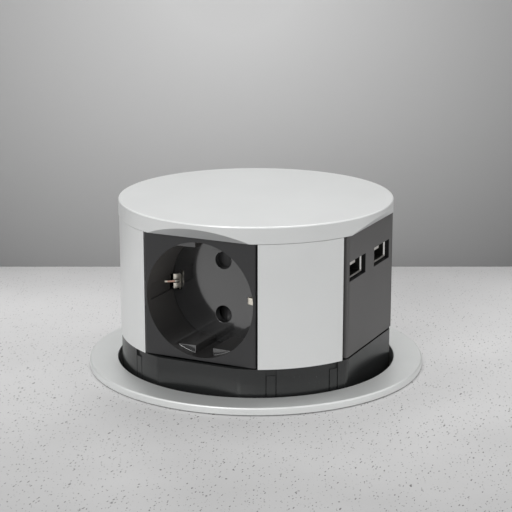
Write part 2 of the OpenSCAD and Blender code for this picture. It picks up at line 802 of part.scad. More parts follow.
module damper_gear(angle) {
    root = gear_r - 1.1 * gear_module;
    radii = [for (i = [0:4]) root + (gear_tip - root) * i / 4];
    color(WHITE) rotate([0, 0, angle]) translate([gear_pos, 0, gear_z]) along_corner(gear_w) difference() {
        polygon([for (i = [0:gear_teeth - 1]) let (a = 360 * i / gear_teeth)
            each concat(
                [for (r = radii) [r * cos(a - tooth_angle(r)), r * sin(a - tooth_angle(r))]],
                [for (k = [4:-1:0]) let (r = radii[k]) [r * cos(a + tooth_angle(r)), r * sin(a + tooth_angle(r))]]
            )]);
        circle(d = axle_d + 2 * run_gap);
    }
}
module damper_gear_left() { damper_gear(135); }
module damper_gear_right() { damper_gear(-45); }

// A guide flat, above or below the middle of a well, with its slot
module guide_flats() {
    intersection() {
        bar_y(2 * well_r + 0.2, cup_end, face_dist - guide_depth);
        difference() {
            for (s = [-1, 1]) scale([1, 1, s])
                block([-well_r, -face_dist, guide_flat], [well_r, -cup_end, well_r + 1]);
            block([-guide_slot / 2, -face_dist, -well_r - 1], [guide_slot / 2, -cup_end, well_r + 1]);
        }
    }
}

// Face plate and round well of one mains socket, moulded together
module socket(angle) {
    color(BLACK) rotate([0, 0, angle]) difference() {
        union() {
            difference() {
                union() {
                    intersection() {
                        block([-face_w / 2, -face_dist, z_ledge + plate_seam], [face_w / 2, -face_back, z_seam - 0.1]);
                        rod(2 * cap_r, z_ledge, z_seam);
                    }
                    intersection() {
                        translate([0, 0, z_mid]) bar_y(2 * cup_r, cup_end, face_dist);
                        block([-cap_r, -face_dist, z_ledge + plate_seam], [cap_r, 0, z_seam - 0.1]);
                        union() {
                            rod(2 * panel_edge, z_ledge, z_seam);
                            block([-cap_r, -face_back, z_ledge], [cap_r, 0, z_seam]);
                            block([-face_w / 2, -face_dist, z_ledge], [face_w / 2, 0, z_seam]);
                        }
                    }
                }
                translate([0, 0, z_mid]) bar_y(2 * well_r, cup_end - cut, face_dist + cut);
            }
            difference() {
                translate([0, 0, z_mid]) guide_flats();
                translate([0, 0, z_mid]) bar_y(2 * (well_r - 0.6), cup_end - cut, floor_dist);
            }
        }
        block([-cap_r, -face_dist + 2.5, z_mid - clip_h / 2 - set_gap],
            [-well_r + 0.6, -cup_end + cut, z_mid + clip_h / 2 + set_gap]);
        block([well_r - 0.6, -face_dist + 2.5, z_mid - clip_h / 2 - set_gap],
            [cap_r, -cup_end + cut, z_mid + clip_h / 2 + set_gap]);
    }
}
module socket_front() { socket(SOCKETS[0]); }
module socket_left() { socket(SOCKETS[1]); }
module socket_rear() { socket(SOCKETS[2]); }

// Floor of a well: pin holes, slots for the earth clip and the shutter's pivot behind
module socket_base(angle) {
    color(DARK) rotate([0, 0, angle]) translate([0, 0, z_mid]) difference() {
        union() {
            bar_y(2 * (well_r - 0.6 - set_gap), cup_end, floor_dist);
            bar_y(2 * cup_r, flange_end, cup_end);
            bar_y(pivot_d, bar_dist + 0.3, flange_end + cut);
        }
        for (s = [-1, 1]) translate([0, 0, s * pin_pitch / 2]) bar_y(pin_hole_d, flange_end - cut, floor_dist + cut);
        for (s = [-1, 1]) scale([s, 1, 1]) block(
            [well_r - clip_in - set_gap, -floor_dist - cut, -clip_h / 2 - set_gap],
            [cup_r + cut, -flange_end + cut, clip_h / 2 + set_gap]);
    }
}
module socket_base_front() { socket_base(SOCKETS[0]); }
module socket_base_left() { socket_base(SOCKETS[1]); }
module socket_base_rear() { socket_base(SOCKETS[2]); }

// A bar that turns behind the pin holes: slanted ends let a plug's two pins push it aside
module shutter(angle) {
    color(BLACK) rotate([0, 0, angle]) translate([0, 0, z_mid]) difference() {
        union() {
            intersection() {
                block([-shutter_w / 2, -shutter_dist, -shutter_reach],
                    [shutter_w / 2, -shutter_dist + shutter_t, shutter_reach]);
                bar_y(2 * shutter_reach, shutter_dist - shutter_t, shutter_dist);
            }
            bar_y(2 * pivot_d, shutter_dist - shutter_t, shutter_dist);
        }
        bar_y(pivot_d + 2 * run_gap, shutter_dist - shutter_t - cut, shutter_dist + cut);
        for (s = [-1, 1]) rotate([0, s > 0 ? 0 : 180, 0]) translate([0, -shutter_dist, pin_pitch / 2])
            rotate([0, 0, 28]) translate([0, -shutter_t, -shutter_w / 2 - 1])
            cube([2 * shutter_w, shutter_t, 2 * shutter_w]);
    }
}
module shutter_front() { shutter(SOCKETS[0]); }
module shutter_left() { shutter(SOCKETS[1]); }
module shutter_rear() { shutter(SOCKETS[2]); }

// Earth clip: one bent strip with an arm on each side of the well, each split into two tongues
module earth_clip(angle) {
    x1 = well_r - 0.2;
    crest = well_r - clip_in + 0.1;
    arm = crest + 0.6;
    tail = x1 - 2 * clip_t;
    hook = x1 + 0.4;
    tip = -face_dist + 2.8;
    tip_h = 3.4;
    y_bar = -bar_dist;
    color(NICKEL) rotate([0, 0, angle]) translate([0, 0, z_mid]) difference() {
        union() {
            for (s = [-1, 1]) scale([s, 1, 1]) translate([0, 0, -clip_h / 2]) linear_extrude(clip_h) polygon([
                [tail - clip_t, y_bar], [tail - clip_t, -floor_dist - 1], [crest, -floor_dist - 3],
                [crest, -floor_dist - 5], [arm, -floor_dist - 7], [arm, tip], [hook, tip],
                [hook, tip + clip_t], [arm + clip_t, tip + clip_t], [arm + clip_t, -floor_dist - 7],
                [crest + clip_t, -floor_dist - 5], [crest + clip_t, -floor_dist - 3], [tail, -floor_dist - 1],
                [tail, y_bar]
            ]);
            block([-tail, y_bar, -2], [tail, y_bar + clip_t, 2]);
        }
        block([-cap_r, tip + 3, -0.35], [cap_r, -floor_dist - 1.5, 0.35]);
        for (s = [-1, 1]) scale([1, 1, s])
            block([-cap_r, -face_dist, tip_h / 2], [cap_r, -floor_dist - 8, clip_h]);
    }
}
module earth_clip_front() { earth_clip(SOCKETS[0]); }
module earth_clip_left() { earth_clip(SOCKETS[1]); }
module earth_clip_rear() { earth_clip(SOCKETS[2]); }

// Block behind a well that holds the pin contacts, on two legs that clear the shutter
module contact_block(angle) {
    half = leg_z + leg_t;
    color(BLACK) rotate([0, 0, angle]) translate([0, 0, z_mid]) difference() {
        union() {
            block([-block_w / 2, -block_dist, -half], [block_w / 2, -block_end, half]);
            for (s = [-1, 1]) scale([1, 1, s])
                block([-block_w / 4, -flange_end, leg_z - 1.6], [block_w / 4, -block_end, half]);
        }
        for (s = [-1, 1]) translate([0, 0, s * pin_pitch / 2])
            bar_y(2 * (contact_r + run_gap), block_end - cut, block_dist + cut);
    }
}
module contact_block_front() { contact_block(SOCKETS[0]); }
module contact_block_left() { contact_block(SOCKETS[1]); }
module contact_block_rear() { contact_block(SOCKETS[2]); }

module pin_contacts() {
    color(BRASS) turned(SOCKETS) for (s = [-1, 1]) translate([0, 0, z_mid + s * pin_pitch / 2]) difference() {
        bar_y(2 * contact_r, block_end, block_dist - 0.2);
        bar_y(pin_d + 0.1, block_end + 1, block_dist + cut);
        block([-0.4, -block_dist - cut, -contact_r - cut], [0.4, -block_end - 2, contact_r + cut]);
    }
}

// Live and neutral bars join the contacts of the three sockets
module bus_bars() {
    color(BRASS) for (s = [-1, 1]) translate([0, 0, z_mid + s * pin_pitch / 2]) {
        rod(8, -0.6, 0.6);
        turned(SOCKETS) block([-1.8, -block_end, -0.6], [1.8, 0, 0.6]);
    }
}

module usb_ports() {
    rotate([0, 0, USB]) for (s = [-1, 1]) translate([s * usb_pitch / 2 - usb_side, 0, z_mid + usb_up]) children();
}

usb_board_z = z_mid + usb_up - usb_h / 2;
usb_board_t = 1.6;
usb_board_in = 2.5;
usb_board_w = face_w - 2 * usb_board_in;
usb_shell_front = face_dist - usb_recess;
tongue_back = 2.4;

module usb_plate() {
    rib = 1.6;
    color(BLACK) {
        difference() {
            intersection() {
                rotate([0, 0, USB]) block(
                    [-face_w / 2, -face_dist, z_ledge + plate_seam], [face_w / 2, -face_back, z_seam - 0.1]);
                rod(2 * cap_r, z_ledge, z_seam);
            }
            usb_ports() block([-usb_w / 2 - usb_room, -cap_r, -usb_h / 2 - usb_room],
                [usb_w / 2 + usb_room, 0, usb_h / 2 + usb_room]);
        }
        rotate([0, 0, USB]) for (x = [-usb_board_w / 2 + 4, usb_board_w / 2 - 4 - rib]) block(
            [x, -face_back - cut / 2, usb_board_z - usb_board_t - 5],
            [x + rib, -flange_end - 2, usb_board_z - usb_board_t]);
    }
}

module usb_shells() {
    w = usb_w / 2;
    h = usb_h / 2;
    color(STEEL) usb_ports() difference() {
        block([-w, -usb_shell_front, -h], [w, -usb_shell_front + usb_l, h]);
        block([-w + usb_sheet, -usb_shell_front - cut, -h + usb_sheet],
            [w - usb_sheet, -usb_shell_front + usb_l + cut, h - usb_sheet]);
    }
}

module usb_tongues() {
    w = usb_w / 2 - usb_sheet - set_gap / 2;
    h = usb_h / 2 - usb_sheet - set_gap / 2;
    back = -usb_shell_front + usb_l;
    color(WHITE) usb_ports() {
        block([-w, back - 2.5, -h], [w, back, h]);
        block([-w + 0.6, -usb_shell_front + tongue_back, 0.1], [w - 0.6, back - 2, 1.9]);
    }
}

module usb_board() {
    color(GREEN) rotate([0, 0, USB]) block(
        [-usb_board_w / 2, -face_back + 0.3, usb_board_z - usb_board_t],
        [usb_board_w / 2, -flange_end + 1.6, usb_board_z]);
}

// Transformer, capacitor and coil under the charger's board
module board_parts() {
    z = usb_board_z - usb_board_t;
    part_x = 8;
    part_y = 5;
    core_w = 13;
    core_d = 11;
    core_h = 12;
    can_d = 6;
    can_h = 10;
    coil_d = 5;
    coil_h = 8;
    color(BRASS) rotate([0, 0, USB]) {
        block([-core_w + part_x / 2, -face_back + part_y, z - core_h], [part_x / 2, -face_back + part_y + core_d, z]);
        translate([part_x, -face_back + part_y + 2, 0]) rod(can_d, z - can_h, z);
        translate([part_x, -face_back + part_y + core_d - 1, 0]) rod(coil_d, z - coil_h, z);
    }
}

// Three-way block on the tower's floor where the supply's wires end
module terminal_block() {
    ways = [-terminal_w / 3, 0, terminal_w / 3];
    way_d = 4.4;
    screw_hole = 4;
    way_z = z_skirt + 5;
    color(WHITE) difference() {
        block([-terminal_w / 2, -terminal_d / 2, z_skirt], [terminal_w / 2, terminal_d / 2, z_skirt + terminal_h]);
        for (x = ways) translate([x, 0, way_z]) bar_y(way_d, -terminal_d / 2 - cut, terminal_d / 2 + cut);
        for (x = ways) translate([x, 0, 0]) rod(screw_hole, way_z, z_skirt + terminal_h + cut);
    }
}

flange_ring();
flange_gasket();
outer_sleeve();
sleeve_base();
base_screws();
guide_rods();
rod_stops();
rod_stop_screws();
lift_springs();
damper_racks();
latch_body();
latch_jaw_left();
latch_jaw_right();
cable_gland();
gland_locknut();
gland_cap();
clamp_washer();
clamp_nut();
top_cap();
cap_screws();
side_panel_front_right();
side_panel_rear_right();
side_panel_rear_left();
side_panel_front_left();
tower_frame();
tower_skirt();
tower_floor();
floor_screws();
guide_bushes();
damper_bodies();
damper_gear_left();
damper_gear_right();
latch_striker();
socket_front();
socket_left();
socket_rear();
socket_base_front();
socket_base_left();
socket_base_rear();
shutter_front();
shutter_left();
shutter_rear();
earth_clip_front();
earth_clip_left();
earth_clip_rear();
contact_block_front();
contact_block_left();
contact_block_rear();
pin_contacts();
bus_bars();
usb_plate();
usb_shells();
usb_tongues();
usb_board();
board_parts();
terminal_block();
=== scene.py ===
import math

import bmesh
import bpy
from mathutils import Matrix, Vector


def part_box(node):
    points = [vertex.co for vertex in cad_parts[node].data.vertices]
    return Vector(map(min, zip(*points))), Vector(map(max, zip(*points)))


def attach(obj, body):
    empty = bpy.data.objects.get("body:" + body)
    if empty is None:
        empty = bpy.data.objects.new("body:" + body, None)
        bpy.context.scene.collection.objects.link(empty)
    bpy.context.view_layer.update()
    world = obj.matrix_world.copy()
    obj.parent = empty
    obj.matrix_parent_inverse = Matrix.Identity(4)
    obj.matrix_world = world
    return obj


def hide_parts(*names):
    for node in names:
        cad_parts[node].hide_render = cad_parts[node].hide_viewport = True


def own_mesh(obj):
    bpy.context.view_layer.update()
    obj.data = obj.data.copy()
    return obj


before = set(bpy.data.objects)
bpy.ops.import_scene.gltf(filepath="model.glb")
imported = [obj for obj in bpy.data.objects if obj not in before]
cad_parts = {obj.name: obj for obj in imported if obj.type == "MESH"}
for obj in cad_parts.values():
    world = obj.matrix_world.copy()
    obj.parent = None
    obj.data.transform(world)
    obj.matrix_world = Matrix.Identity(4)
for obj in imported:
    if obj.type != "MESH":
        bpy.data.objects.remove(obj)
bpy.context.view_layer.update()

# Camera. It looks down at the tower from just above the worktop, with a long lens, a little to
# the right of the mains socket, so that the USB face shows at a steep angle.
scene = bpy.context.scene
camera_lens = bpy.data.cameras.new("camera")
camera_lens.lens = 114.2
camera_lens.sensor_width = 36
camera_turn = math.radians(25.5)
camera_pitch = 0.254
camera = bpy.data.objects.new("camera", camera_lens)
camera.location = (0.2390, -0.5010, 0.1821)
camera.rotation_euler = (math.pi / 2 - camera_pitch, 0, camera_turn)
scene.collection.objects.link(camera)
scene.camera = camera
scene.view_settings.view_transform = "Standard"


# Worktop and wall. A pale board with fine dark specks, drilled for the sleeve, its tone painted
# paler toward the wall to offset the shade the wall casts, and deeper toward the camera. A grey
# wall close behind it carries a painted pool of light. Both show from their front only, so a view
# from below sees the sleeve.
class Shade:
    """An output socket of a material's nodes: Python's operators add Math nodes to it."""

    def __init__(self, tree, socket=None):
        self.tree = tree
        self.socket = socket

    def node(self, kind, settings=(), inputs=(), output=0):
        """One output of a new node, whose settings are set before its sockets."""
        made = self.tree.nodes.new(kind)
        for name, value in dict(settings).items():
            setattr(made, name, value)
        for name, value in dict(inputs).items():
            if isinstance(value, Shade):
                value.into(made, name)
            else:
                made.inputs[name].default_value = value
        return Shade(self.tree, made.outputs[output])

    def math(self, operation, first, second):
        return self.node("ShaderNodeMath", {"operation": operation}, {0: first, 1: second})

    def __add__(self, other):
        return self.math("ADD", self, other)

    __radd__ = __add__

    def __sub__(self, other):
        return self.math("SUBTRACT", self, other)

    def __rsub__(self, other):
        return self.math("SUBTRACT", other, self)

    def __mul__(self, other):
        return self.math("MULTIPLY", self, other)

    __rmul__ = __mul__

    def blend(self, low, high):
        """The colour low where this mask is 0 and high where it is 1."""
        colours = {0: self, 6: low, 7: high}
        return self.node("ShaderNodeMix", {"data_type": "RGBA"}, colours, output=2)

    def into(self, node, name):
        self.tree.links.new(self.socket, node.inputs[name])


def new_finish(name, **constants):
    """A material, the start of its nodes, and its shader with the given constants set."""
    made = bpy.data.materials.new(name)
    made.use_nodes = True
    shader = made.node_tree.nodes["Principled BSDF"]
    for socket, value in constants.items():
        shader.inputs[socket.replace("_", " ")].default_value = value
    return made, Shade(made.node_tree), shader


def place(start, scale=(1, 1, 1), turn=(0, 0, 0)):
    """Object coordinates in metres, scaled and turned for a pattern."""
    spot = start.node("ShaderNodeTexCoord", output=3)
    return start.node("ShaderNodeMapping", {}, {"Vector": spot, "Scale": scale, "Rotation": turn})


def noise(start, at, scale, detail=2.0):
    return start.node("ShaderNodeTexNoise", {}, {"Vector": at, "Scale": scale, "Detail": detail})


def ramp(value, low, high):
    """A mask that goes from 0 at low to 1 at high."""
    limits = {"Value": value, "From Min": low, "From Max": high}
    return value.node("ShaderNodeMapRange", {"clamp": True}, limits)


def front_only(made, start, shader):
    """Lets a stage surface be seen through from behind."""
    back = start.node("ShaderNodeNewGeometry", output=6)
    clear = start.node("ShaderNodeBsdfTransparent")
    solid = Shade(made.node_tree, shader.outputs[0])
    mixed = start.node("ShaderNodeMixShader", {}, {0: back, 1: solid, 2: clear})
    mixed.into(made.node_tree.nodes["Material Output"], "Surface")


def only(geom, kind):
    """The vertices or the edges of an operator's result."""
    return [g for g in geom if isinstance(g, kind)]


def draw_out(bm, edges):
    """Extrudes edges in place, and returns the new edges and the new vertices."""
    grown = bmesh.ops.extrude_edge_only(bm, edges=edges)["geom"]
    return only(grown, bmesh.types.BMEdge), only(grown, bmesh.types.BMVert)


def face_towards(bm, face, way):
    """Turns a sheet over unless this face of it looks that way."""
    if face.normal.dot(Vector(way)) < 0:
        bmesh.ops.reverse_faces(bm, faces=bm.faces)


def show(name, bm, finishes):
    """An object in the scene, with a bmesh as its mesh."""
    mesh = bpy.data.meshes.new(name)
    bm.to_mesh(mesh)
    bm.free()
    for finish in finishes:
        mesh.materials.append(finish)
    shown = bpy.data.objects.new(name, mesh)
    scene.collection.objects.link(shown)
    return shown


board_finish, start, shader = new_finish("worktop_board", Specular_IOR_Level=0.3)
painted_dim_near_tone, painted_bright_far_tone = (0.365, 0.365, 0.365, 1), (0.82, 0.815, 0.815, 1)
speck_tone, speck_stretch, speck_fray = (0.15, 0.145, 0.145, 1), (1, 0.55, 1), (0.0012, 0.0012, 0)
speck_layers = (  # cells in a metre, size in a cell, share of cells left bare
    (150.0, 0.08, 0.88), (330.0, 0.115, 0.72), (620.0, 0.15, 0.5), (900.0, 0.2, 0.5))
spot = place(start)
clouds = ramp(noise(start, spot, 16.0, 3.0), 0.3, 0.7)
facing = place(start, turn=(0, 0, -camera_turn))
away = start.node("ShaderNodeSeparateXYZ", {}, {0: facing}, output=1)
drawn = start.node("ShaderNodeMapping", {}, {"Vector": facing, "Scale": speck_stretch})
ragged = start.node("ShaderNodeVectorMath", {"operation": "MULTIPLY_ADD"},
                    {0: noise(start, spot, 900.0), 1: speck_fray, 2: drawn})
specks = 0.0
flat = {"voronoi_dimensions": "2D"}
for cells, size, bare in speck_layers:
    grid = {"Vector": ragged, "Scale": cells}
    near = start.node("ShaderNodeTexVoronoi", flat, grid)
    lot = start.node("ShaderNodeTexVoronoi", flat, grid, output=1)
    chance = start.node("ShaderNodeSeparateColor", {}, {0: lot})
    specks = specks + ramp(ramp(chance, bare, 1.0) * size - near, 0.0, 0.05)
# Painted light: the board is paler toward the wall, offsetting the wall's shade, and deeper toward
# the camera, where more light falls; clouds add a little random tone.
plain = (ramp(away, -0.2, 0.06) * 0.85 + clouds * 0.15).blend(painted_dim_near_tone, painted_bright_far_tone)
strength = 1 - ramp(away, -0.05, 0.1) * 0.65
(ramp(specks, 0.0, 1.0) * strength).blend(plain, speck_tone).into(shader, "Base Color")
(0.5 + clouds * 0.1).into(shader, "Roughness")
front_only(board_finish, start, shader)
board_hole, board_spread, board_drop = 0.053, 50, 0.0003
bm = bmesh.new()
bmesh.ops.create_circle(bm, radius=board_hole, segments=128)
outer = draw_out(bm, bm.edges[:])[1]
bmesh.ops.scale(bm, vec=(board_spread, board_spread, 1), verts=outer)
bmesh.ops.translate(bm, vec=(0, 0, -board_drop), verts=bm.verts)
bmesh.ops.recalc_face_normals(bm, faces=bm.faces)
face_towards(bm, bm.faces[:][0], (0, 0, 1))
show("worktop", bm, [board_finish])

backdrop_finish, start, shader = new_finish("grey_wall", Roughness=0.8, Specular_IOR_Level=0.2)
wall_tone, painted_light_tone = (0.195, 0.195, 0.195, 1), (0.68, 0.68, 0.68, 1)
painted_light_middle, painted_light_reach, painted_light_core = (-0.0645, 0.112, 0.13), 0.185, 0.03
# A painted pool of light: the wall is pale round a spot behind the tower and fades to grey.
reach = start.node("ShaderNodeVectorMath", {"operation": "DISTANCE"},
                   {0: place(start), 1: painted_light_middle}, output=1)
ramp(reach, painted_light_reach, painted_light_core).blend(wall_tone, painted_light_tone).into(shader, "Base Color")
front_only(backdrop_finish, start, shader)
wall_half, wall_squeeze, wall_behind, wall_middle = 1.5, 0.045, 0.129, 0.067
bm = bmesh.new()
bmesh.ops.create_grid(bm, x_segments=1, y_segments=1, size=wall_half)
stand, aside = Matrix.Rotation(math.pi / 2, 3, "X"), Matrix.Rotation(camera_turn, 3, "Z")
bmesh.ops.rotate(bm, cent=(0, 0, 0), matrix=stand, verts=bm.verts)
bmesh.ops.scale(bm, vec=(1, 1, wall_squeeze), verts=bm.verts)
bmesh.ops.translate(bm, vec=(0, wall_behind, wall_middle), verts=bm.verts)
bmesh.ops.rotate(bm, cent=(0, 0, 0), matrix=aside, verts=bm.verts)
bm.normal_update()
face_towards(bm, bm.faces[:][0], (0, -1, 0))
show("wall", bm, [backdrop_finish])

# Light. An even pale room all round, and two wide soft lamps overhead: one in front gives the edges
# their highlights, and one behind the wall leaves the front of the ring in the tower's shade.
room = bpy.data.worlds.new("room")
room.use_nodes = True
start = Shade(room.node_tree)
rise = start.node("ShaderNodeSeparateXYZ", {}, {0: start.node("ShaderNodeTexCoord")}, output=2)
sky = ramp(rise, 0.35, 1.0).blend((1, 1, 1, 1), (0.5, 0.5, 0.5, 1))
sky.into(room.node_tree.nodes["Background"], "Color")
scene.world = room
for name, spot, size, power in (("front_lamp", (-0.05, -0.85, 0.7), 0.4, 2.6),
                                ("rear_lamp", (-0.1, 0.38, 1.05), 0.7, 3.2)):
    lamp_light = bpy.data.lights.new(name, "AREA")
    lamp_light.shape = "DISK"
    lamp_light.size = size
    lamp_light.energy = power
    lamp = bpy.data.objects.new(name, lamp_light)
    lamp.location = spot
    lamp.rotation_euler = (-lamp.location).to_track_quat("-Z", "Y").to_euler()
    scene.collection.objects.link(lamp)


# Trim ring. A turned aluminium ring with a satin lacquer: it lies on the worktop round the hole,
# its edges are softly rounded, and a short neck under it goes down into the sleeve.
MM = 0.001


def outline(bm, points):
    """A closed loop of edges through points of radius and height in millimetres."""
    corners = [bm.verts.new((r * MM, 0, z * MM)) for r, z in points]
    return corners, [bm.edges.new(pair) for pair in zip(corners, corners[1:] + corners[:1])]


def turned_form(points, steps, arc=2 * math.pi):
    """A profile spun about the vertical axis; one that starts on the axis stays open there."""
    bm = bmesh.new()
    corners, edges = outline(bm, points)
    if points[0][0] == 0:
        bmesh.ops.delete(bm, geom=[edges.pop()], context="EDGES")
    full = arc > 6.28
    bmesh.ops.spin(bm, geom=corners + edges, cent=(0, 0, 0), axis=(0, 0, 1), angle=arc,
                   steps=steps, use_merge=full)
    if not full:
        bmesh.ops.holes_fill(bm, edges=bm.edges[:], sides=0)
    bmesh.ops.remove_doubles(bm, verts=bm.verts, dist=1e-7)
    bmesh.ops.recalc_face_normals(bm, faces=bm.faces)
    return bm


def soften(bm, edges, width, segments=3):
    """Rounds edges by a width in millimetres."""
    bmesh.ops.bevel(bm, geom=edges, offset=width * MM, offset_type="OFFSET", segments=segments,
                    profile=0.5, affect="EDGES", material=-1, clamp_overlap=True)


def ring_edges(bm, radius, height):
    """The circle of edges at a radius and a height in millimetres."""
    chosen = {v for v in bm.verts if abs(v.co.xy.length - radius * MM) < 2e-6
              and abs(v.co.z - height * MM) < 2e-6}
    return [e for e in bm.edges if e.verts[0] in chosen and e.verts[1] in chosen]


def piece(name, body, node, slot, bm, *finishes, smooth=38):
    """A finished piece: the body that it rides on, the node that it stands for, and its mesh."""
    shown = show(name, bm, finishes)
    shown.data.shade_smooth()
    shown.data.set_sharp_from_angle(angle=math.radians(smooth))
    even = shown.modifiers.new("even_normals", "WEIGHTED_NORMAL")
    even.keep_sharp = True
    even.weight = 80
    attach(shown, body)
    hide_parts(node)
    return shown


def toned(tint, amount):
    """A colour made deeper or lighter."""
    return (*(min(1, c * amount) for c in tint), 1)


def relief(shader, height, strength, depth):
    """A fine relief with a depth in metres."""
    inputs = {"Strength": strength, "Distance": depth, "Height": height}
    height.node("ShaderNodeBump", {}, inputs).into(shader, "Normal")


def silver_finish(name, tint, rough, metal, streak=0.0):
    """Satin lacquer over aluminium: fine flakes in the gloss, and brushed lines where asked."""
    made, start, shader = new_finish(name, Metallic=metal)
    spot = place(start)
    flakes = noise(start, spot, 5200.0, 1.0)
    clouds = noise(start, spot, 38.0, 3.0)
    lines = noise(start, place(start, (60, 60, 9000)), 1.0)
    shade = ramp(flakes, 0.25, 0.75) * 0.5 + ramp(clouds, 0.3, 0.7) * 0.5
    shade = shade * (1 - streak) + ramp(lines, 0.3, 0.7) * streak
    shade.blend(toned(tint, 0.96), toned(tint, 1.03)).into(shader, "Base Color")
    gloss = rough - 0.05 + flakes * 0.06 + clouds * 0.04 + lines * (0.1 * streak)
    gloss.into(shader, "Roughness")
    relief(shader, flakes * (1 - 0.6 * streak) + lines * streak, 0.05 + 0.15 * streak, 2e-5)
    return made


ring_finish = silver_finish("ring_lacquer", (0.85, 0.865, 0.855), rough=0.46, metal=0.72)
ring_hole, ring_edge, ring_top, neck_out, neck_low = 49.1, 59.2, 2.5, 50.1, -5
groove_in, groove_out, groove_deep, seat_out, seat_deep = 54.3, 58, 0.825, 52.35, 0.75
bm = turned_form([
    (ring_hole, neck_low), (ring_hole, ring_top), (ring_edge, ring_top), (ring_edge, 0),
    (groove_out, 0), (groove_out, groove_deep), (groove_in, groove_deep), (groove_in, 0),
    (seat_out, 0), (seat_out, seat_deep), (neck_out, seat_deep), (neck_out, neck_low)], 256)
soften(bm, ring_edges(bm, ring_edge, ring_top), 0.55, 5)
soften(bm, ring_edges(bm, ring_hole, ring_top), 0.3, 4)
soften(bm, ring_edges(bm, ring_edge, 0), 0.15, 2)
piece("trim_ring", "housing", "flange_ring", "silver_metal", bm, ring_finish)


# Gasket. A flat ring cut from black closed-cell foam. It sits in a groove under the trim ring and
# is pressed flat by the worktop.
def sharp_edges(bm, degrees=30):
    limit = math.radians(degrees)
    return [e for e in bm.edges if len(e.link_faces) == 2 and e.calc_face_angle(0) > limit]


def cad_form(node, width=0.0, segments=2):
    """A merged copy of a CAD node, with its sharp edges rounded by a width in millimetres."""
    bm = bmesh.new()
    bm.from_mesh(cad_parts[node].data)
    bmesh.ops.remove_doubles(bm, verts=bm.verts, dist=2e-6)
    bmesh.ops.dissolve_limit(bm, angle_limit=math.radians(0.5), verts=bm.verts, edges=bm.edges)
    if width:
        soften(bm, sharp_edges(bm), width, segments)
    return bm


def dress(name, body, node, slot, finish, width, segments=2):
    """A piece in the node's own form, with rounded edges and a finish."""
    piece(name, body, node, slot, cad_form(node, width, segments), finish)


def moulded_finish(name, tint, rough, grain, scale, spec=0.5):
    """Moulded plastic: a fine eroded grain in relief and small changes of gloss from the mould."""
    made, start, shader = new_finish(name, Specular_IOR_Level=spec)
    spot = place(start)
    fine = noise(start, spot, scale)
    flow = noise(start, spot, 45.0, 4.0)
    shade = ramp(flow, 0.3, 0.7) * 0.7 + fine * 0.3
    shade.blend(toned(tint, 0.9), toned(tint, 1.12)).into(shader, "Base Color")
    (rough - 0.06 + flow * 0.08 + fine * 0.05).into(shader, "Roughness")
    relief(shader, fine, 0.35, grain)
    return made


foam_finish = moulded_finish("gasket_foam", (0.03, 0.03, 0.031), rough=0.85, grain=1e-4,
                             scale=1500.0, spec=0.2)
dress("foam_gasket", "housing", "flange_gasket", "foam_rubber", foam_finish, 0.15)


# Sleeve. A moulded black tube that hangs in the worktop's hole. A coarse thread for the clamp nut
# runs outside in four strips, broken at the mould's partings; screw bosses inside take the cover.
def upright(degrees):
    """A turn about the tower's axis."""
    return Matrix.Rotation(math.radians(degrees), 4, "Z")


def peg(bm, radius, height, at, segments=24):
    """A round peg in metres, with its middle where a matrix puts it; returns its vertices."""
    return bmesh.ops.create_cone(bm, cap_ends=True, segments=segments, radius1=radius,
                                 radius2=radius, depth=height, matrix=at)["verts"]


sleeve_finish = moulded_finish("sleeve_plastic", (0.022, 0.022, 0.024), rough=0.48, grain=4e-5,
                               scale=1800.0)
sleeve_bore, thread_root, thread_crest, thread_pitch = 49.6, 51.45, 52.2, 4.5
collar_bore, collar_out, collar_top, collar_low = 50.175, 52.2, 0.6, -6.25
run_out, step_low = -7, -5.15
sleeve_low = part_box("outer_sleeve")[0].z / MM
bm = turned_form([
    (collar_bore, collar_top), (collar_out, collar_top), (collar_out, collar_low),
    (thread_root, run_out), (thread_root, sleeve_low), (sleeve_bore, sleeve_low),
    (sleeve_bore, step_low), (collar_bore, step_low)], 160)
strips, strip_degrees, strip_steps, thread_gap, thread_top = 4, 70, 20, 3, -10
strip_arc = math.radians(strip_degrees)
strip_rise = thread_pitch * strip_arc / (2 * math.pi)
flank = [(thread_root - 0.3, 1.55), (thread_crest - 0.12, 0.6), (thread_crest, 0.45)]
for strip in range(strips):
    turn = upright(strip * 90 + 45 - strip_degrees / 2)
    low = sleeve_low + thread_gap + thread_pitch * strip / strips
    while low < thread_top:
        middle = low - strip_rise / 2
        corners, edges = outline(bm, [(r, middle - half) for r, half in flank]
                                 + [(r, middle + half) for r, half in reversed(flank)])
        bmesh.ops.rotate(bm, cent=(0, 0, 0), matrix=turn, verts=corners)
        bmesh.ops.spin(bm, geom=corners + edges, cent=(0, 0, 0), axis=(0, 0, 1), angle=strip_arc,
                       steps=strip_steps, dvec=(0, 0, strip_rise * MM / strip_steps))
        low += thread_pitch
bmesh.ops.holes_fill(bm, edges=bm.edges[:], sides=6)
boss_circle, boss_radius, boss_high, boss_degrees = 46.4, 3.5, 12, (0, 90, 180, 270)
boss_at = Matrix.Translation((boss_circle * MM, 0, (sleeve_low + boss_high / 2) * MM))
for degrees in boss_degrees:
    peg(bm, boss_radius * MM, boss_high * MM, upright(degrees) @ boss_at)
bmesh.ops.recalc_face_normals(bm, faces=bm.faces)
piece("threaded_sleeve", "housing", "outer_sleeve", "sleeve_plastic", bm, sleeve_finish)

# Bottom cover. A moulded disc with a spigot that centres it in the sleeve, seats for the guide rods
# and the hole for the cable gland; four screws go up through it into the sleeve's bosses.
dress("bottom_cover", "housing", "sleeve_base", "sleeve_plastic", sleeve_finish, 0.25)


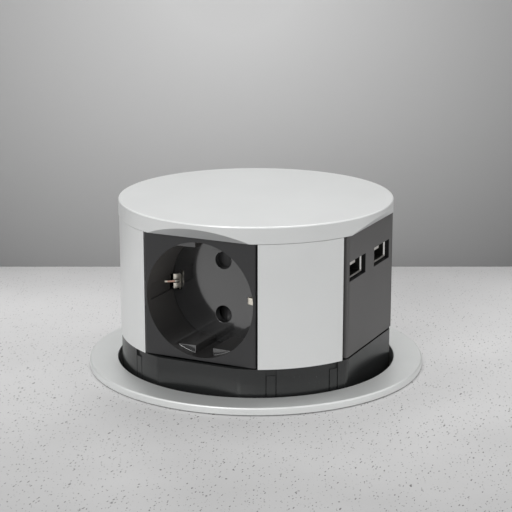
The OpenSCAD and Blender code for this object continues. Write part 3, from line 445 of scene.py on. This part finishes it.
def metal_finish(name, tint, rough, scale=2500.0, stain=0.06):
    """Plain plated metal: light handling marks and cloudy changes of gloss."""
    made, start, shader = new_finish(name, Metallic=1.0)
    spot = place(start)
    clouds = noise(start, spot, 160.0, 4.0)
    fine = noise(start, spot, scale)
    deep, light = toned(tint, 1 - 2 * stain), toned(tint, 1 + stain)
    ramp(clouds, 0.3, 0.7).blend(deep, light).into(shader, "Base Color")
    (rough - 0.05 + clouds * 0.1 + fine * 0.06).into(shader, "Roughness")
    relief(shader, fine, 0.2, 1e-5)
    return made


zinc_finish = metal_finish("zinc_steel", (0.6, 0.61, 0.63), rough=0.32)
head_radius, head_high, shank_radius = 2.8 * MM, 1.8 * MM, 1.45 * MM


def screw_head(bm):
    """A pan head, face down, with a six-lobed recess pressed into it."""
    corners = peg(bm, head_radius, head_high, Matrix.Translation((0, 0, head_high / 2)))
    face = min({f for v in corners for f in v.link_faces}, key=lambda f: f.calc_center_median().z)
    bmesh.ops.bevel(bm, geom=list(face.edges), offset=head_high * 0.4, segments=3, profile=0.5,
                    affect="EDGES", material=-1)
    face = min(bm.faces, key=lambda f: (round(f.calc_center_median().z, 7), -f.calc_area()))
    bmesh.ops.inset_individual(bm, faces=[face], thickness=head_radius * 0.22)
    for number, v in enumerate(face.verts):
        if number % 4 in (0, 1):
            v.co.xy *= 0.78
    deep = bmesh.ops.extrude_discrete_faces(bm, faces=[face])["faces"][0]
    bmesh.ops.translate(bm, vec=(0, 0, head_high * 0.6), verts=deep.verts)


def take_in(bm, part):
    """Adds one bmesh to another and frees it."""
    copy = bpy.data.meshes.new("part")
    part.to_mesh(copy)
    part.free()
    bm.from_mesh(copy)
    bpy.data.meshes.remove(copy)


def screw_set(name, body, node, spots, flip=False):
    """The same screw at each spot in millimetres: a shank and a head with a recess."""
    low, high = (corner.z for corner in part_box(node))
    shank = high - low - head_high
    bm = bmesh.new()
    for x, y in spots:
        one = bmesh.new()
        screw_head(one)
        peg(one, shank_radius, shank, Matrix.Translation((0, 0, head_high + shank / 2)), 20)
        if flip:
            over = Matrix.Rotation(math.pi, 3, "X")
            bmesh.ops.rotate(one, cent=(0, 0, 0), matrix=over, verts=one.verts)
        bmesh.ops.translate(one, vec=(x * MM, y * MM, high if flip else low), verts=one.verts)
        take_in(bm, one)
    piece(name, body, node, "steel", bm, zinc_finish)


def around(radius, degrees):
    """Spots on a circle, in millimetres."""
    angles = [math.radians(a) for a in degrees]
    return [(radius * math.cos(a), radius * math.sin(a)) for a in angles]


screw_set("cover_screws", "housing", "base_screws", around(boss_circle, boss_degrees))

# Cable gland. A hexagon fitting through the bottom cover with a locknut inside and a cap below that
# squeezes a seal on the mains lead.
gland_finish = moulded_finish("gland_nylon", (0.028, 0.028, 0.03), rough=0.42, grain=2e-5,
                              scale=2600.0)
for name, node in (("gland_body", "cable_gland"), ("gland_nut", "gland_locknut"),
                   ("gland_dome", "gland_cap")):
    dress(name, "housing", node, "sleeve_plastic", gland_finish, 0.3, 3)

# Clamp. A pressed steel washer and a big moulded nut with grip lugs: screwed up the sleeve, they
# hold the worktop against the trim ring.
dress("clamp_plate", "clamp_washer", "clamp_washer", "steel", zinc_finish, 0.2)
dress("clamp_ring_nut", "clamp_nut", "clamp_nut", "sleeve_plastic", sleeve_finish, 0.6, 3)

# Guide rods. Two ground steel rods pressed into the bottom cover, each with a stop washer screwed
# on top that ends the tower's travel.
rod_finish = metal_finish("ground_rod", (0.66, 0.67, 0.68), rough=0.18, scale=4200.0, stain=0.03)
rod_spots = around(38.2, (45, 225))
dress("ground_rods", "housing", "guide_rods", "steel", rod_finish, 0.3)
dress("stop_washers", "housing", "rod_stops", "steel", zinc_finish, 0.2)
screw_set("stop_screws", "housing", "rod_stop_screws", rod_spots, flip=True)

# Lift springs. Round spring wire wound over the guide rods, closed at both ends: they push the
# tower up and are squeezed flat when it is down.
spring_finish = metal_finish("spring_wire", (0.5, 0.51, 0.53), rough=0.28, scale=3000.0, stain=0.05)
spring_low, spring_high = (corner.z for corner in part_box("lift_springs"))
spring_length, lift_travel = spring_high - spring_low, 0.0575
wire, coil, spring_turns, coil_steps, end_pitch = 1.1 * MM, 4.6 * MM, 9, 32, 1.7 * MM
open_pitch = (spring_length - wire - 2 * end_pitch) / (spring_turns - 2)


def edges_at(corners):
    """The edges that meet at these vertices."""
    return list(dict.fromkeys(e for v in corners for e in v.link_edges))


bm = bmesh.new()
for x, y in rod_spots:
    axis_at = Vector((x * MM, y * MM, 0))
    tip = Matrix.Translation(axis_at + Vector((coil, 0, spring_low + wire / 2)))
    tip = tip @ Matrix.Rotation(math.pi / 2, 4, "X")
    ring = bmesh.ops.create_circle(bm, cap_ends=True, segments=10, radius=wire / 2,
                                   matrix=tip)["verts"]
    moving = ring + edges_at(ring)
    for turns, pitch in ((1, end_pitch), (spring_turns - 2, open_pitch), (1, end_pitch)):
        spun = bmesh.ops.spin(bm, geom=moving, cent=axis_at, axis=(0, 0, 1),
                              dvec=(0, 0, pitch / coil_steps), angle=turns * 2 * math.pi,
                              steps=turns * coil_steps)["geom_last"]
        moving = only(spun, (bmesh.types.BMVert, bmesh.types.BMEdge))
bmesh.ops.holes_fill(bm, edges=bm.edges[:], sides=10)
bmesh.ops.recalc_face_normals(bm, faces=bm.faces)
springs = piece("coil_springs", "housing", "lift_springs", "steel", bm, spring_finish, smooth=60)
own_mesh(springs)

# Dampers. A toothed rack stands on the bottom cover at each of two corners: a small gear on an
# oil-filled body under the tower rolls along it and slows the rise.
acetal_finish = moulded_finish("white_acetal", (0.74, 0.73, 0.69), rough=0.38, grain=1e-5,
                               scale=3500.0)
dress("rack_strips", "housing", "damper_racks", "white_plastic", acetal_finish, 0.06, 1)
for side in ("left", "right"):
    gear = f"damper_gear_{side}"
    dress(f"gear_wheel_{side}", gear, gear, "white_plastic", acetal_finish, 0.05, 1)
dress("damper_pots", "tower", "damper_bodies", "sleeve_plastic", gland_finish, 0.25)

# Latch. Two steel jaws in a moulded cradle on the bottom cover hook over a mushroom-shaped striker
# when the tower is pushed down, and let go at the next push.
dress("latch_cradle", "housing", "latch_body", "sleeve_plastic", gland_finish, 0.2)
for side in ("left", "right"):
    jaw = f"latch_jaw_{side}"
    dress(f"jaw_{side}", jaw, jaw, "steel", zinc_finish, 0.2)
dress("striker", "tower", "latch_striker", "sleeve_plastic", gland_finish, 0.2)

# Tower floor and bushes. A flat plate closes the tower below and carries white bushes that run on
# the guide rods; long screws from below hold floor, skirt and frame together.
case_finish = moulded_finish("case_plastic", (0.024, 0.024, 0.025), rough=0.40, grain=2e-5,
                             scale=3200.0)
dress("floor_plate", "tower", "tower_floor", "black_plastic", case_finish, 0.2)
dress("rod_bushes", "tower", "guide_bushes", "white_plastic", acetal_finish, 0.2)
post_x, post_y = 14.0, -39.0
posts = [(post_x, post_y), (-post_y, post_x), (-post_x, -post_y), (post_y, -post_x)]
screw_set("long_screws", "tower", "floor_screws", posts)

# Skirt and frame. The black lower shell slides in the ring's hole: it has flats under the faces and
# pairs of snap tabs that hold the side panels. The frame on it is a cage of posts behind them.
skirt_finish = moulded_finish("skirt_plastic", (0.018, 0.019, 0.019), rough=0.25, grain=8e-6,
                              scale=2600.0)
dress("lower_shell", "tower", "tower_skirt", "black_plastic", skirt_finish, 0.1)
dress("inner_cage", "tower", "tower_frame", "black_plastic", case_finish, 0.1)


# Side panels. Four curved aluminium sheets with the same lacquer as the cap, cut straight where
# they meet the face plates and snapped over the frame's posts.
def cut_off(bm, at, normal):
    """Cuts away what lies past a plane, and returns the edges of the cut."""
    whole = bm.verts[:] + bm.edges[:] + bm.faces[:]
    cut = bmesh.ops.bisect_plane(bm, geom=whole, dist=1e-7, plane_co=at, plane_no=normal,
                                 clear_outer=True)
    return only(cut["geom_cut"], bmesh.types.BMEdge)


panel_finish = silver_finish("panel_lacquer", (0.735, 0.745, 0.74), rough=0.38, metal=0.3)
panel_out, panel_in, panel_low, panel_high, panel_spread = 47.8, 46.4, 11.7, 54.08, 50
panel_edge, usb_edge = 21.1, 21.9
for name, degrees, edge_a, edge_b in (
        ("front_right", -45, usb_edge, panel_edge), ("rear_right", 45, panel_edge, usb_edge),
        ("rear_left", 135, panel_edge, panel_edge), ("front_left", 225, panel_edge, panel_edge)):
    bm = turned_form([(panel_in, panel_low), (panel_out, panel_low), (panel_out, panel_high),
                      (panel_in, panel_high)], 48, math.radians(panel_spread))
    turn = upright(45 - panel_spread / 2)
    bmesh.ops.rotate(bm, cent=(0, 0, 0), matrix=turn, verts=bm.verts)
    for normal, edge in ((Vector((-1, 0, 0)), edge_a), (Vector((0, -1, 0)), edge_b)):
        cut_off(bm, normal * -edge * MM, normal)
        bmesh.ops.holes_fill(bm, edges=bm.edges[:], sides=0)
    bmesh.ops.recalc_face_normals(bm, faces=bm.faces)
    soften(bm, sharp_edges(bm), 0.2, 3)
    bmesh.ops.rotate(bm, cent=(0, 0, 0), matrix=upright(degrees - 45), verts=bm.verts)
    piece(f"curved_panel_{name}", "tower", f"side_panel_{name}", "silver_metal", bm, panel_finish)

# Top cap. A cast aluminium lid, lacquered like the panels; its rounded top edge is a little
# glossier and painted lighter as a highlight. Under its rim a slanted facet with fine milling lines
# is cut above each face, for a finger to lift the tower.
cap_finish = silver_finish("cap_lacquer", (0.70, 0.71, 0.705), rough=0.40, metal=0.25)
facet_finish = silver_finish("milled_facet", (0.62, 0.63, 0.63), rough=0.34, metal=0.35, streak=0.7)
# The rounded top edge: the same lacquer, a little glossier, with a painted highlight in its lighter
# tint.
highlight_edge_finish = silver_finish("painted_highlight_edge", (0.86, 0.87, 0.865), rough=0.3, metal=0.35)
facet_index, highlight_edge_index = 1, 2
cap_radius, cap_top, cap_low, facet_at = 48.0, 60.0, 54.2, 44.1
rim_in, skin, top_round = 37.5, 1.8, 0.5
bm = turned_form([(0, cap_top), (cap_radius, cap_top), (cap_radius, cap_low), (rim_in, cap_low),
                  (rim_in, cap_top - skin), (0, cap_top - skin)], 256)
soften(bm, ring_edges(bm, cap_radius, cap_top), top_round, 5)
# The faces of the rounded top edge take the painted highlight.
for f in bm.faces:
    if 0.1 < f.normal.z < 0.98 and f.calc_center_median().z > (cap_top - top_round) * MM:
        f.material_index = highlight_edge_index
soften(bm, ring_edges(bm, cap_radius, cap_low), 0.15, 2)
for x, y in ((0, -1), (-1, 0), (0, 1), (1, 0)):
    at = Vector((x * facet_at, y * facet_at, cap_low)) * MM
    cut = cut_off(bm, at, Vector((x, y, -1)).normalized())
    bmesh.ops.edgeloop_fill(bm, edges=cut, mat_nr=facet_index)
bmesh.ops.recalc_face_normals(bm, faces=bm.faces)
soften(bm, [e for e in sharp_edges(bm, 25)
            if any(f.material_index == facet_index for f in e.link_faces)], 0.12, 2)
piece("lid", "tower", "top_cap", "silver_metal", bm, cap_finish, facet_finish, highlight_edge_finish)
screw_set("lid_screws", "tower", "cap_screws", around(41.5, (-45, 45, 135, 225)))

# Mains sockets. Each is one black moulding: a face plate, a round well with guide flats above and
# below, and thin lids on the clip's side slots. A glossy floor with pin holes, and webs behind the
# clip, closes the well. A turning shutter waits behind the holes.
plate_finish = moulded_finish("socket_plate", (0.026, 0.026, 0.027), rough=0.34, grain=1.5e-5,
                              scale=3600.0)
floor_finish = moulded_finish("well_floor", (0.018, 0.018, 0.0185), rough=0.12, grain=3e-6,
                              scale=2200.0, spec=1.0)
well_finish = moulded_finish("well_wall", (0.022, 0.021, 0.0205), rough=0.46, grain=8e-6,
                             scale=2600.0, spec=0.2)
guide_finish = moulded_finish("guide_fronts", (0.03, 0.03, 0.031), rough=0.2, grain=4e-6,
                              scale=2600.0, spec=0.8)
shutter_finish = moulded_finish("shutter_plastic", (0.035, 0.035, 0.036), rough=0.3, grain=1e-5,
                                scale=2600.0)
# Painted reflection: the well walls turn paler toward the top, standing for the bright worktop they
# reflect.
painted_reflection_tone = (0.11, 0.104, 0.099, 1)
start = Shade(well_finish.node_tree)
shader = well_finish.node_tree.nodes["Principled BSDF"]
plain = Shade(well_finish.node_tree, shader.inputs["Base Color"].links[0].from_socket)
rise = start.node("ShaderNodeSeparateXYZ", {}, {0: place(start)}, output=2)
ramp(rise, 0.02, 0.04).blend(plain, painted_reflection_tone).into(shader, "Base Color")
for polished in (floor_finish, guide_finish):
    shader = polished.node_tree.nodes["Principled BSDF"]
    shader.inputs["Coat Weight"].default_value = 1.0
    shader.inputs["Coat Roughness"].default_value = 0.06
    shader.inputs["Coat IOR"].default_value = 1.85
well_index, guide_index = 1, 2
guide_front, plate_front, well_middle, well_radius = 40.2 * MM, 43.6 * MM, 32.95 * MM, 20 * MM
guide_round, guide_largest = 0.45, 2e-5
slant_from, slant_slope = 19.95 * MM, 0.61
lid_at, lid_thick, lid_high = 20.25 * MM, 0.35 * MM, 5.7 * MM
lid_back, lid_front = 26.5 * MM, 41.1 * MM
floor_rim, floor_spread = 19.05 * MM, 0.65 * MM
web_at, web_depth, web_size = 19.3 * MM, 22.8 * MM, (3.1 * MM, 0.6 * MM, 5.6 * MM)


def slant_sides(bm, way, half_flat, slope):
    """Slants the upright edges of a face plate back, to end flush with the panels."""
    across = Vector((0, 0, 1)).cross(way)
    nearly = plate_front - 0.05 * MM
    for sign in (-1, 1):
        front = [f for f in bm.faces if all(v.co.dot(way) > nearly for v in f.verts)]
        parts = list(dict.fromkeys(g for f in front for g in (*f.verts, *f.edges, f)))
        bmesh.ops.bisect_plane(bm, geom=parts, dist=1e-7, plane_co=across * sign * half_flat,
                               plane_no=across)
    for v in bm.verts:
        past = abs(v.co.dot(across)) - half_flat
        if past > 1e-6 and v.co.dot(way) > nearly:
            v.co -= way * past * slope


def bar(bm, middle, size, turn=Matrix(), index=0):
    """A flat bar in metres, turned about the tower's axis; returns its corners."""
    at = turn @ Matrix.Translation(middle) @ Matrix.Diagonal((*size, 1))
    corners = bmesh.ops.create_cube(bm, size=1, matrix=at)["verts"]
    for f in {f for v in corners for f in v.link_faces}:
        f.material_index = index
    return corners


sockets = (("front", 0), ("left", -90), ("rear", 180))
for side, degrees in sockets:
    turn = upright(degrees)
    way = turn @ Vector((0, -1, 0))
    bm = cad_form(f"socket_{side}")
    slant_sides(bm, way, slant_from, slant_slope)
    for f in bm.faces:
        offset = f.calc_center_median() - Vector((0, 0, well_middle))
        depth = offset.dot(way)
        inside = (offset - depth * way).length < well_radius
        f.material_index = well_index * int(inside and depth < plate_front - 0.2 * MM)
    soften(bm, [e for e in sharp_edges(bm)
                if all(abs(v.co.dot(way) - guide_front) < 1e-5 for v in e.verts)], guide_round, 3)
    for f in bm.faces:
        behind = abs(f.calc_center_median().dot(way) - guide_front)
        if f.material_index and behind < (guide_round + 0.01) * MM:
            f.material_index = guide_index if f.calc_area() < guide_largest else well_index
    soften(bm, [e for e in sharp_edges(bm, 50)
                if any(f.material_index == 0 for f in e.link_faces)], 0.12, 3)
    for across in (-lid_at, lid_at):
        bar(bm, (across, -(lid_back + lid_front) / 2, well_middle),
            (lid_thick, lid_front - lid_back, lid_high), turn, well_index)
    piece(f"well_{side}", "tower", f"socket_{side}", "black_plastic", bm,
          plate_finish, well_finish, guide_finish)
    bm = cad_form(f"socket_base_{side}")
    for v in bm.verts:
        along = way * v.co.dot(way) + Vector((0, 0, well_middle))
        if abs((v.co - along).length - floor_rim) < 0.2 * MM:
            v.co = along + (v.co - along).normalized() * (floor_rim + floor_spread)
    soften(bm, sharp_edges(bm), 0.12, 3)
    for across in (-web_at, web_at):
        bar(bm, (across, -web_depth, well_middle), web_size, turn)
    piece(f"well_floor_{side}", "tower", f"socket_base_{side}", "black_plastic", bm, floor_finish)
    shutter = f"shutter_{side}"
    dress(f"pin_shutter_{side}", shutter, shutter, "black_plastic", shutter_finish, 0.12)

# Earth clips. A plated bronze strip round the back of each well, with an arm on both sides: two
# broad tongues lean into the well, with a slim finger between them. One finger hooks into the
# wall's slot, and the other runs forward and ends in a rounded paddle that leads the plug in.
clip_finish = metal_finish("nickel_strip", (0.92, 0.87, 0.77), rough=0.44, scale=3000.0)
bronze_finish = metal_finish("bare_bronze", (0.62, 0.40, 0.32), rough=0.3, scale=3000.0, stain=0.1)
clip_thick, clip_rise, rise_from, stem_end = 0.5, 0.9, 25.6, 25
finger_half, paddle_half, slit_half = 0.32, 1.15, 0.6
tongue_end, slit_from, paddle_from, bare_from, bare_to = 28.9, 26.1, 37.2, 28.4, 30.1
pressed_from, pressed_to, pressed_low, pressed_high, pressed_deep = 26, 28.7, 0.9, 2.2, 0.16
back_depth, back_size = 19.3 * MM, (35 * MM, 0.8 * MM, 4 * MM)
tongue_path = [(17.15, 19.7), (17.15, 23.9), (16.95, 24.7), (16.55, 25.4), (16.2, 25.9),
               (16.05, 26.3), (16.1, 26.8), (16.25, 27.3), (16.5, 27.8), (16.8, 28.2),
               (17.15, 28.55), (17.55, 28.85)]
hook_path = [(18.0, 29.2), (18.5, 29.6), (19.2, 30.12), (19.8, 30.36), (20.35, 30.6)]
lead_path = [(17.9, 29.9), (18.1, 31.2), (18.1, 33.5), (17.8, 35.5), (17.0, 37.3), (16.2, 38.5),
             (15.85, 39.0), (15.8, 39.35), (16.05, 39.7), (16.6, 39.95), (17.4, 40.15),
             (18.2, 40.25)]
levels = [-2.6, -1.85, -1.15, -0.6, -0.32, 0.32, 0.6, 1.15, 1.85, 2.6]
for side, degrees in sockets:
    bm = bmesh.new()
    for mirror, arm_path in ((-1, tongue_path + hook_path), (1, tongue_path + lead_path)):
        arm = bmesh.new()
        corners = [arm.verts.new((x * MM, -y * MM, levels[0] * MM)) for x, y in arm_path]
        moving = [arm.edges.new(pair) for pair in zip(corners, corners[1:])]
        for low, high in zip(levels, levels[1:]):
            moving, risen = draw_out(arm, moving)
            bmesh.ops.translate(arm, vec=(0, 0, (high - low) * MM), verts=risen)
        spare = []
        for f in arm.faces:
            middle = f.calc_center_median() / MM
            out, off = -middle.y, abs(middle.z)
            paddle = out > paddle_from and off < paddle_half
            gap = out > tongue_end or off < slit_half and out > slit_from
            if off > finger_half and not paddle and gap:
                spare.append(f)
            f.material_index = int(off < finger_half and bare_from < out < bare_to)
        bmesh.ops.delete(arm, geom=spare, context="FACES")
        for v in arm.verts:
            out, off = -v.co.y / MM, abs(v.co.z / MM)
            if pressed_from < out < pressed_to and pressed_low < off < pressed_high:
                v.co.x -= pressed_deep * MM
            v.co.z += clip_rise * MM * min(1, max(0, out - rise_from))
        bmesh.ops.recalc_face_normals(arm, faces=arm.faces)
        stem = [f for f in arm.faces if f.calc_center_median().y > -stem_end * MM]
        face_towards(arm, min(stem, key=lambda f: f.calc_center_median().y), (-1, 0, 0))
        bmesh.ops.solidify(arm, geom=arm.faces[:], thickness=clip_thick * MM)
        bmesh.ops.scale(arm, vec=(mirror, 1, 1), verts=arm.verts)
        bmesh.ops.recalc_face_normals(arm, faces=arm.faces)
        soften(arm, sharp_edges(arm, 60), 0.1, 2)
        take_in(bm, arm)
    soften(bm, edges_at(bar(bm, (0, -back_depth, 0), back_size)), 0.2, 2)
    clip_at = Matrix.Translation((0, 0, well_middle)) @ upright(degrees)
    bmesh.ops.transform(bm, matrix=clip_at, verts=bm.verts)
    piece(f"earth_strip_{side}", "tower", f"earth_clip_{side}", "nickel_spring", bm,
          clip_finish, bronze_finish)

# Contacts. Behind each well a moulded block holds two split brass tubes for the pins; brass bars
# join the three sockets, and the supply's wires end in a screw block on the tower's floor.
brass_finish = metal_finish("contact_brass", (0.72, 0.52, 0.22), rough=0.3, scale=2600.0,
                            stain=0.08)
for side, degrees in sockets:
    dress(f"contact_carrier_{side}", "tower", f"contact_block_{side}", "black_plastic",
          case_finish, 0.3)
dress("split_tubes", "tower", "pin_contacts", "contact_brass", brass_finish, 0.08, 1)
dress("joining_bars", "tower", "bus_bars", "contact_brass", brass_finish, 0.1, 1)
dress("screw_block", "tower", "terminal_block", "white_plastic", acetal_finish, 0.4)

# USB face. A black plate like the sockets', painted lighter as a sheen, with two windows whose
# walls are painted dark as shade. Folded tin-plated shells with flared lips stand behind them on
# the charger's board, each round a pale tongue with contacts; their insides and lower parts are
# painted dark as shade.
# A painted sheen: the plate is the same black plastic as the sockets' plates, but lighter, for the
# sheen it shows at a steep angle; its gloss is real.
usb_sheen_painted_finish = moulded_finish("usb_plate", (0.081, 0.079, 0.078), rough=0.52, grain=1.5e-5,
                            scale=3600.0, spec=0.75)
# A painted shade for the windows' walls, darker than the plate.
window_painted_shade_finish = moulded_finish("window_painted_shade", (0.014, 0.014, 0.0145), rough=0.46, grain=8e-6,
                               scale=2600.0, spec=0.2)
tongue_finish = moulded_finish("pale_tongue", (0.7, 0.68, 0.64), rough=0.4, grain=1e-5,
                               scale=3000.0)
resist_finish = moulded_finish("board_resist", (0.03, 0.16, 0.08), rough=0.35, grain=2e-5,
                               scale=900.0)
parts_finish = moulded_finish("taped_parts", (0.45, 0.34, 0.1), rough=0.45, grain=4e-5, scale=700.0)
tin_finish = metal_finish("tin_shell", (0.9, 0.89, 0.86), rough=0.3, scale=3000.0, stain=0.05)
# Painted shade: the shells' faces below their middle take a darker, slightly rougher tin, for the
# shade on the lower lips.
low_painted_shade_finish = metal_finish("tin_painted_low_shade", (0.4, 0.39, 0.37), rough=0.4, scale=3000.0, stain=0.08)
# Painted shade: inward faces behind the lips are near black, for the shade inside the shells.
painted_shade_finish = metal_finish("shell_inside_painted_shade", (0.05, 0.05, 0.046), rough=0.5, scale=3000.0,
                            stain=0.05)
gold_finish = metal_finish("gold_contact", (0.85, 0.62, 0.28), rough=0.25, scale=3000.0, stain=0.04)
shell_middle = sum(corner.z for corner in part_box("usb_shells")) / 2
ports, window_wide, window_high = (-12.2, 9.8), 7.0, 3.3
half_wide, half_high, shell_corner, sheet = 6.55, 2.85, 0.7, 0.35
shell_front, shell_steps, lip_flare = 41.95, (41.8, 41.6, 41.1, 28.9), (0.28, 0.16, 0.02)
shade_from, painted_shade_below, shade_index, low_shade_index = 41.55, 0.6, 1, 2
usb_slant_from, usb_slant_slope = 19.4 * MM, 0.43
bm = cad_form("usb_plate")
slant_sides(bm, Vector((1, 0, 0)), usb_slant_from, usb_slant_slope)
# Faces in the windows' walls take the painted shade.
for f in bm.faces:
    middle = f.calc_center_median()
    up = abs(middle.z - shell_middle) / MM
    off = min(abs(middle.y / MM - port) for port in ports)
    inside = up < window_high + 0.1 and off < window_wide + 0.1
    f.material_index = int(abs(f.normal.x) < 0.1 and inside)
soften(bm, sharp_edges(bm), 0.15, 3)
piece("usb_face", "tower", "usb_plate", "black_plastic", bm, usb_sheen_painted_finish, window_painted_shade_finish)
bm = bmesh.new()
bend = [math.radians(a) for a in range(0, 91, 18)]
corner_arc = [(half_wide - shell_corner * (1 - math.cos(a)),
               half_high - shell_corner * (1 - math.sin(a))) for a in bend]
flip = [(-y, z) for y, z in reversed(corner_arc)]
section = corner_arc + flip + [(-y, -z) for y, z in corner_arc] + [(-y, -z) for y, z in flip]
for port in ports:
    loops = [[bm.verts.new((shell_front * MM, (port + y) * MM, shell_middle + z * MM))
              for y, z in section]]
    moving = [bm.edges.new(pair) for pair in zip(loops[0], loops[0][1:] + loops[0][:1])]
    for back in shell_steps:
        moving, loop = draw_out(bm, moving)
        for v in loop:
            v.co.x = back * MM
        loops.append(loop)
    for loop, grow in zip(loops, lip_flare):
        for v in loop:
            v.co.y += math.copysign(grow * MM, v.co.y - port * MM)
            v.co.z += math.copysign(grow * MM, v.co.z - shell_middle)
bmesh.ops.recalc_face_normals(bm, faces=bm.faces)
face_towards(bm, max(bm.faces, key=lambda f: f.calc_center_median().z), (0, 0, 1))
bmesh.ops.solidify(bm, geom=bm.faces[:], thickness=sheet * MM)
bmesh.ops.recalc_face_normals(bm, faces=bm.faces)
# Inward faces behind the lips take the painted shade, and faces on the lower half a darker tin,
# also painted shade.
for f in bm.faces:
    middle = f.calc_center_median()
    port = min(ports, key=lambda y: abs(y * MM - middle.y))
    inward = Vector((0, port * MM - middle.y, shell_middle - middle.z))
    if middle.x < shade_from * MM and f.normal.dot(inward) > 0:
        f.material_index = shade_index
    elif middle.z < shell_middle - painted_shade_below * MM:
        f.material_index = low_shade_index
piece("port_shells", "tower", "usb_shells", "steel", bm, tin_finish, painted_shade_finish, low_painted_shade_finish)
blade_spots, blade_middle, blade_lift = (-3.5, -1.0, 1.0, 3.5), 36.4, 0.1
blade_size = (6.4, 1.0, 0.16)
bm = cad_form("usb_tongues", 0.2, 3)
for port in ports:
    for spot in blade_spots:
        at = (blade_middle * MM, (port + spot) * MM, shell_middle + blade_lift * MM)
        corners = bar(bm, at, [length * MM for length in blade_size], index=1)
        soften(bm, edges_at(corners), 0.06, 2)
piece("port_tongues", "tower", "usb_tongues", "white_plastic", bm, tongue_finish, gold_finish)
dress("charger_board", "tower", "usb_board", "circuit_board", resist_finish, 0.1)
dress("charger_parts", "tower", "board_parts", "board_parts", parts_finish, 0.4)
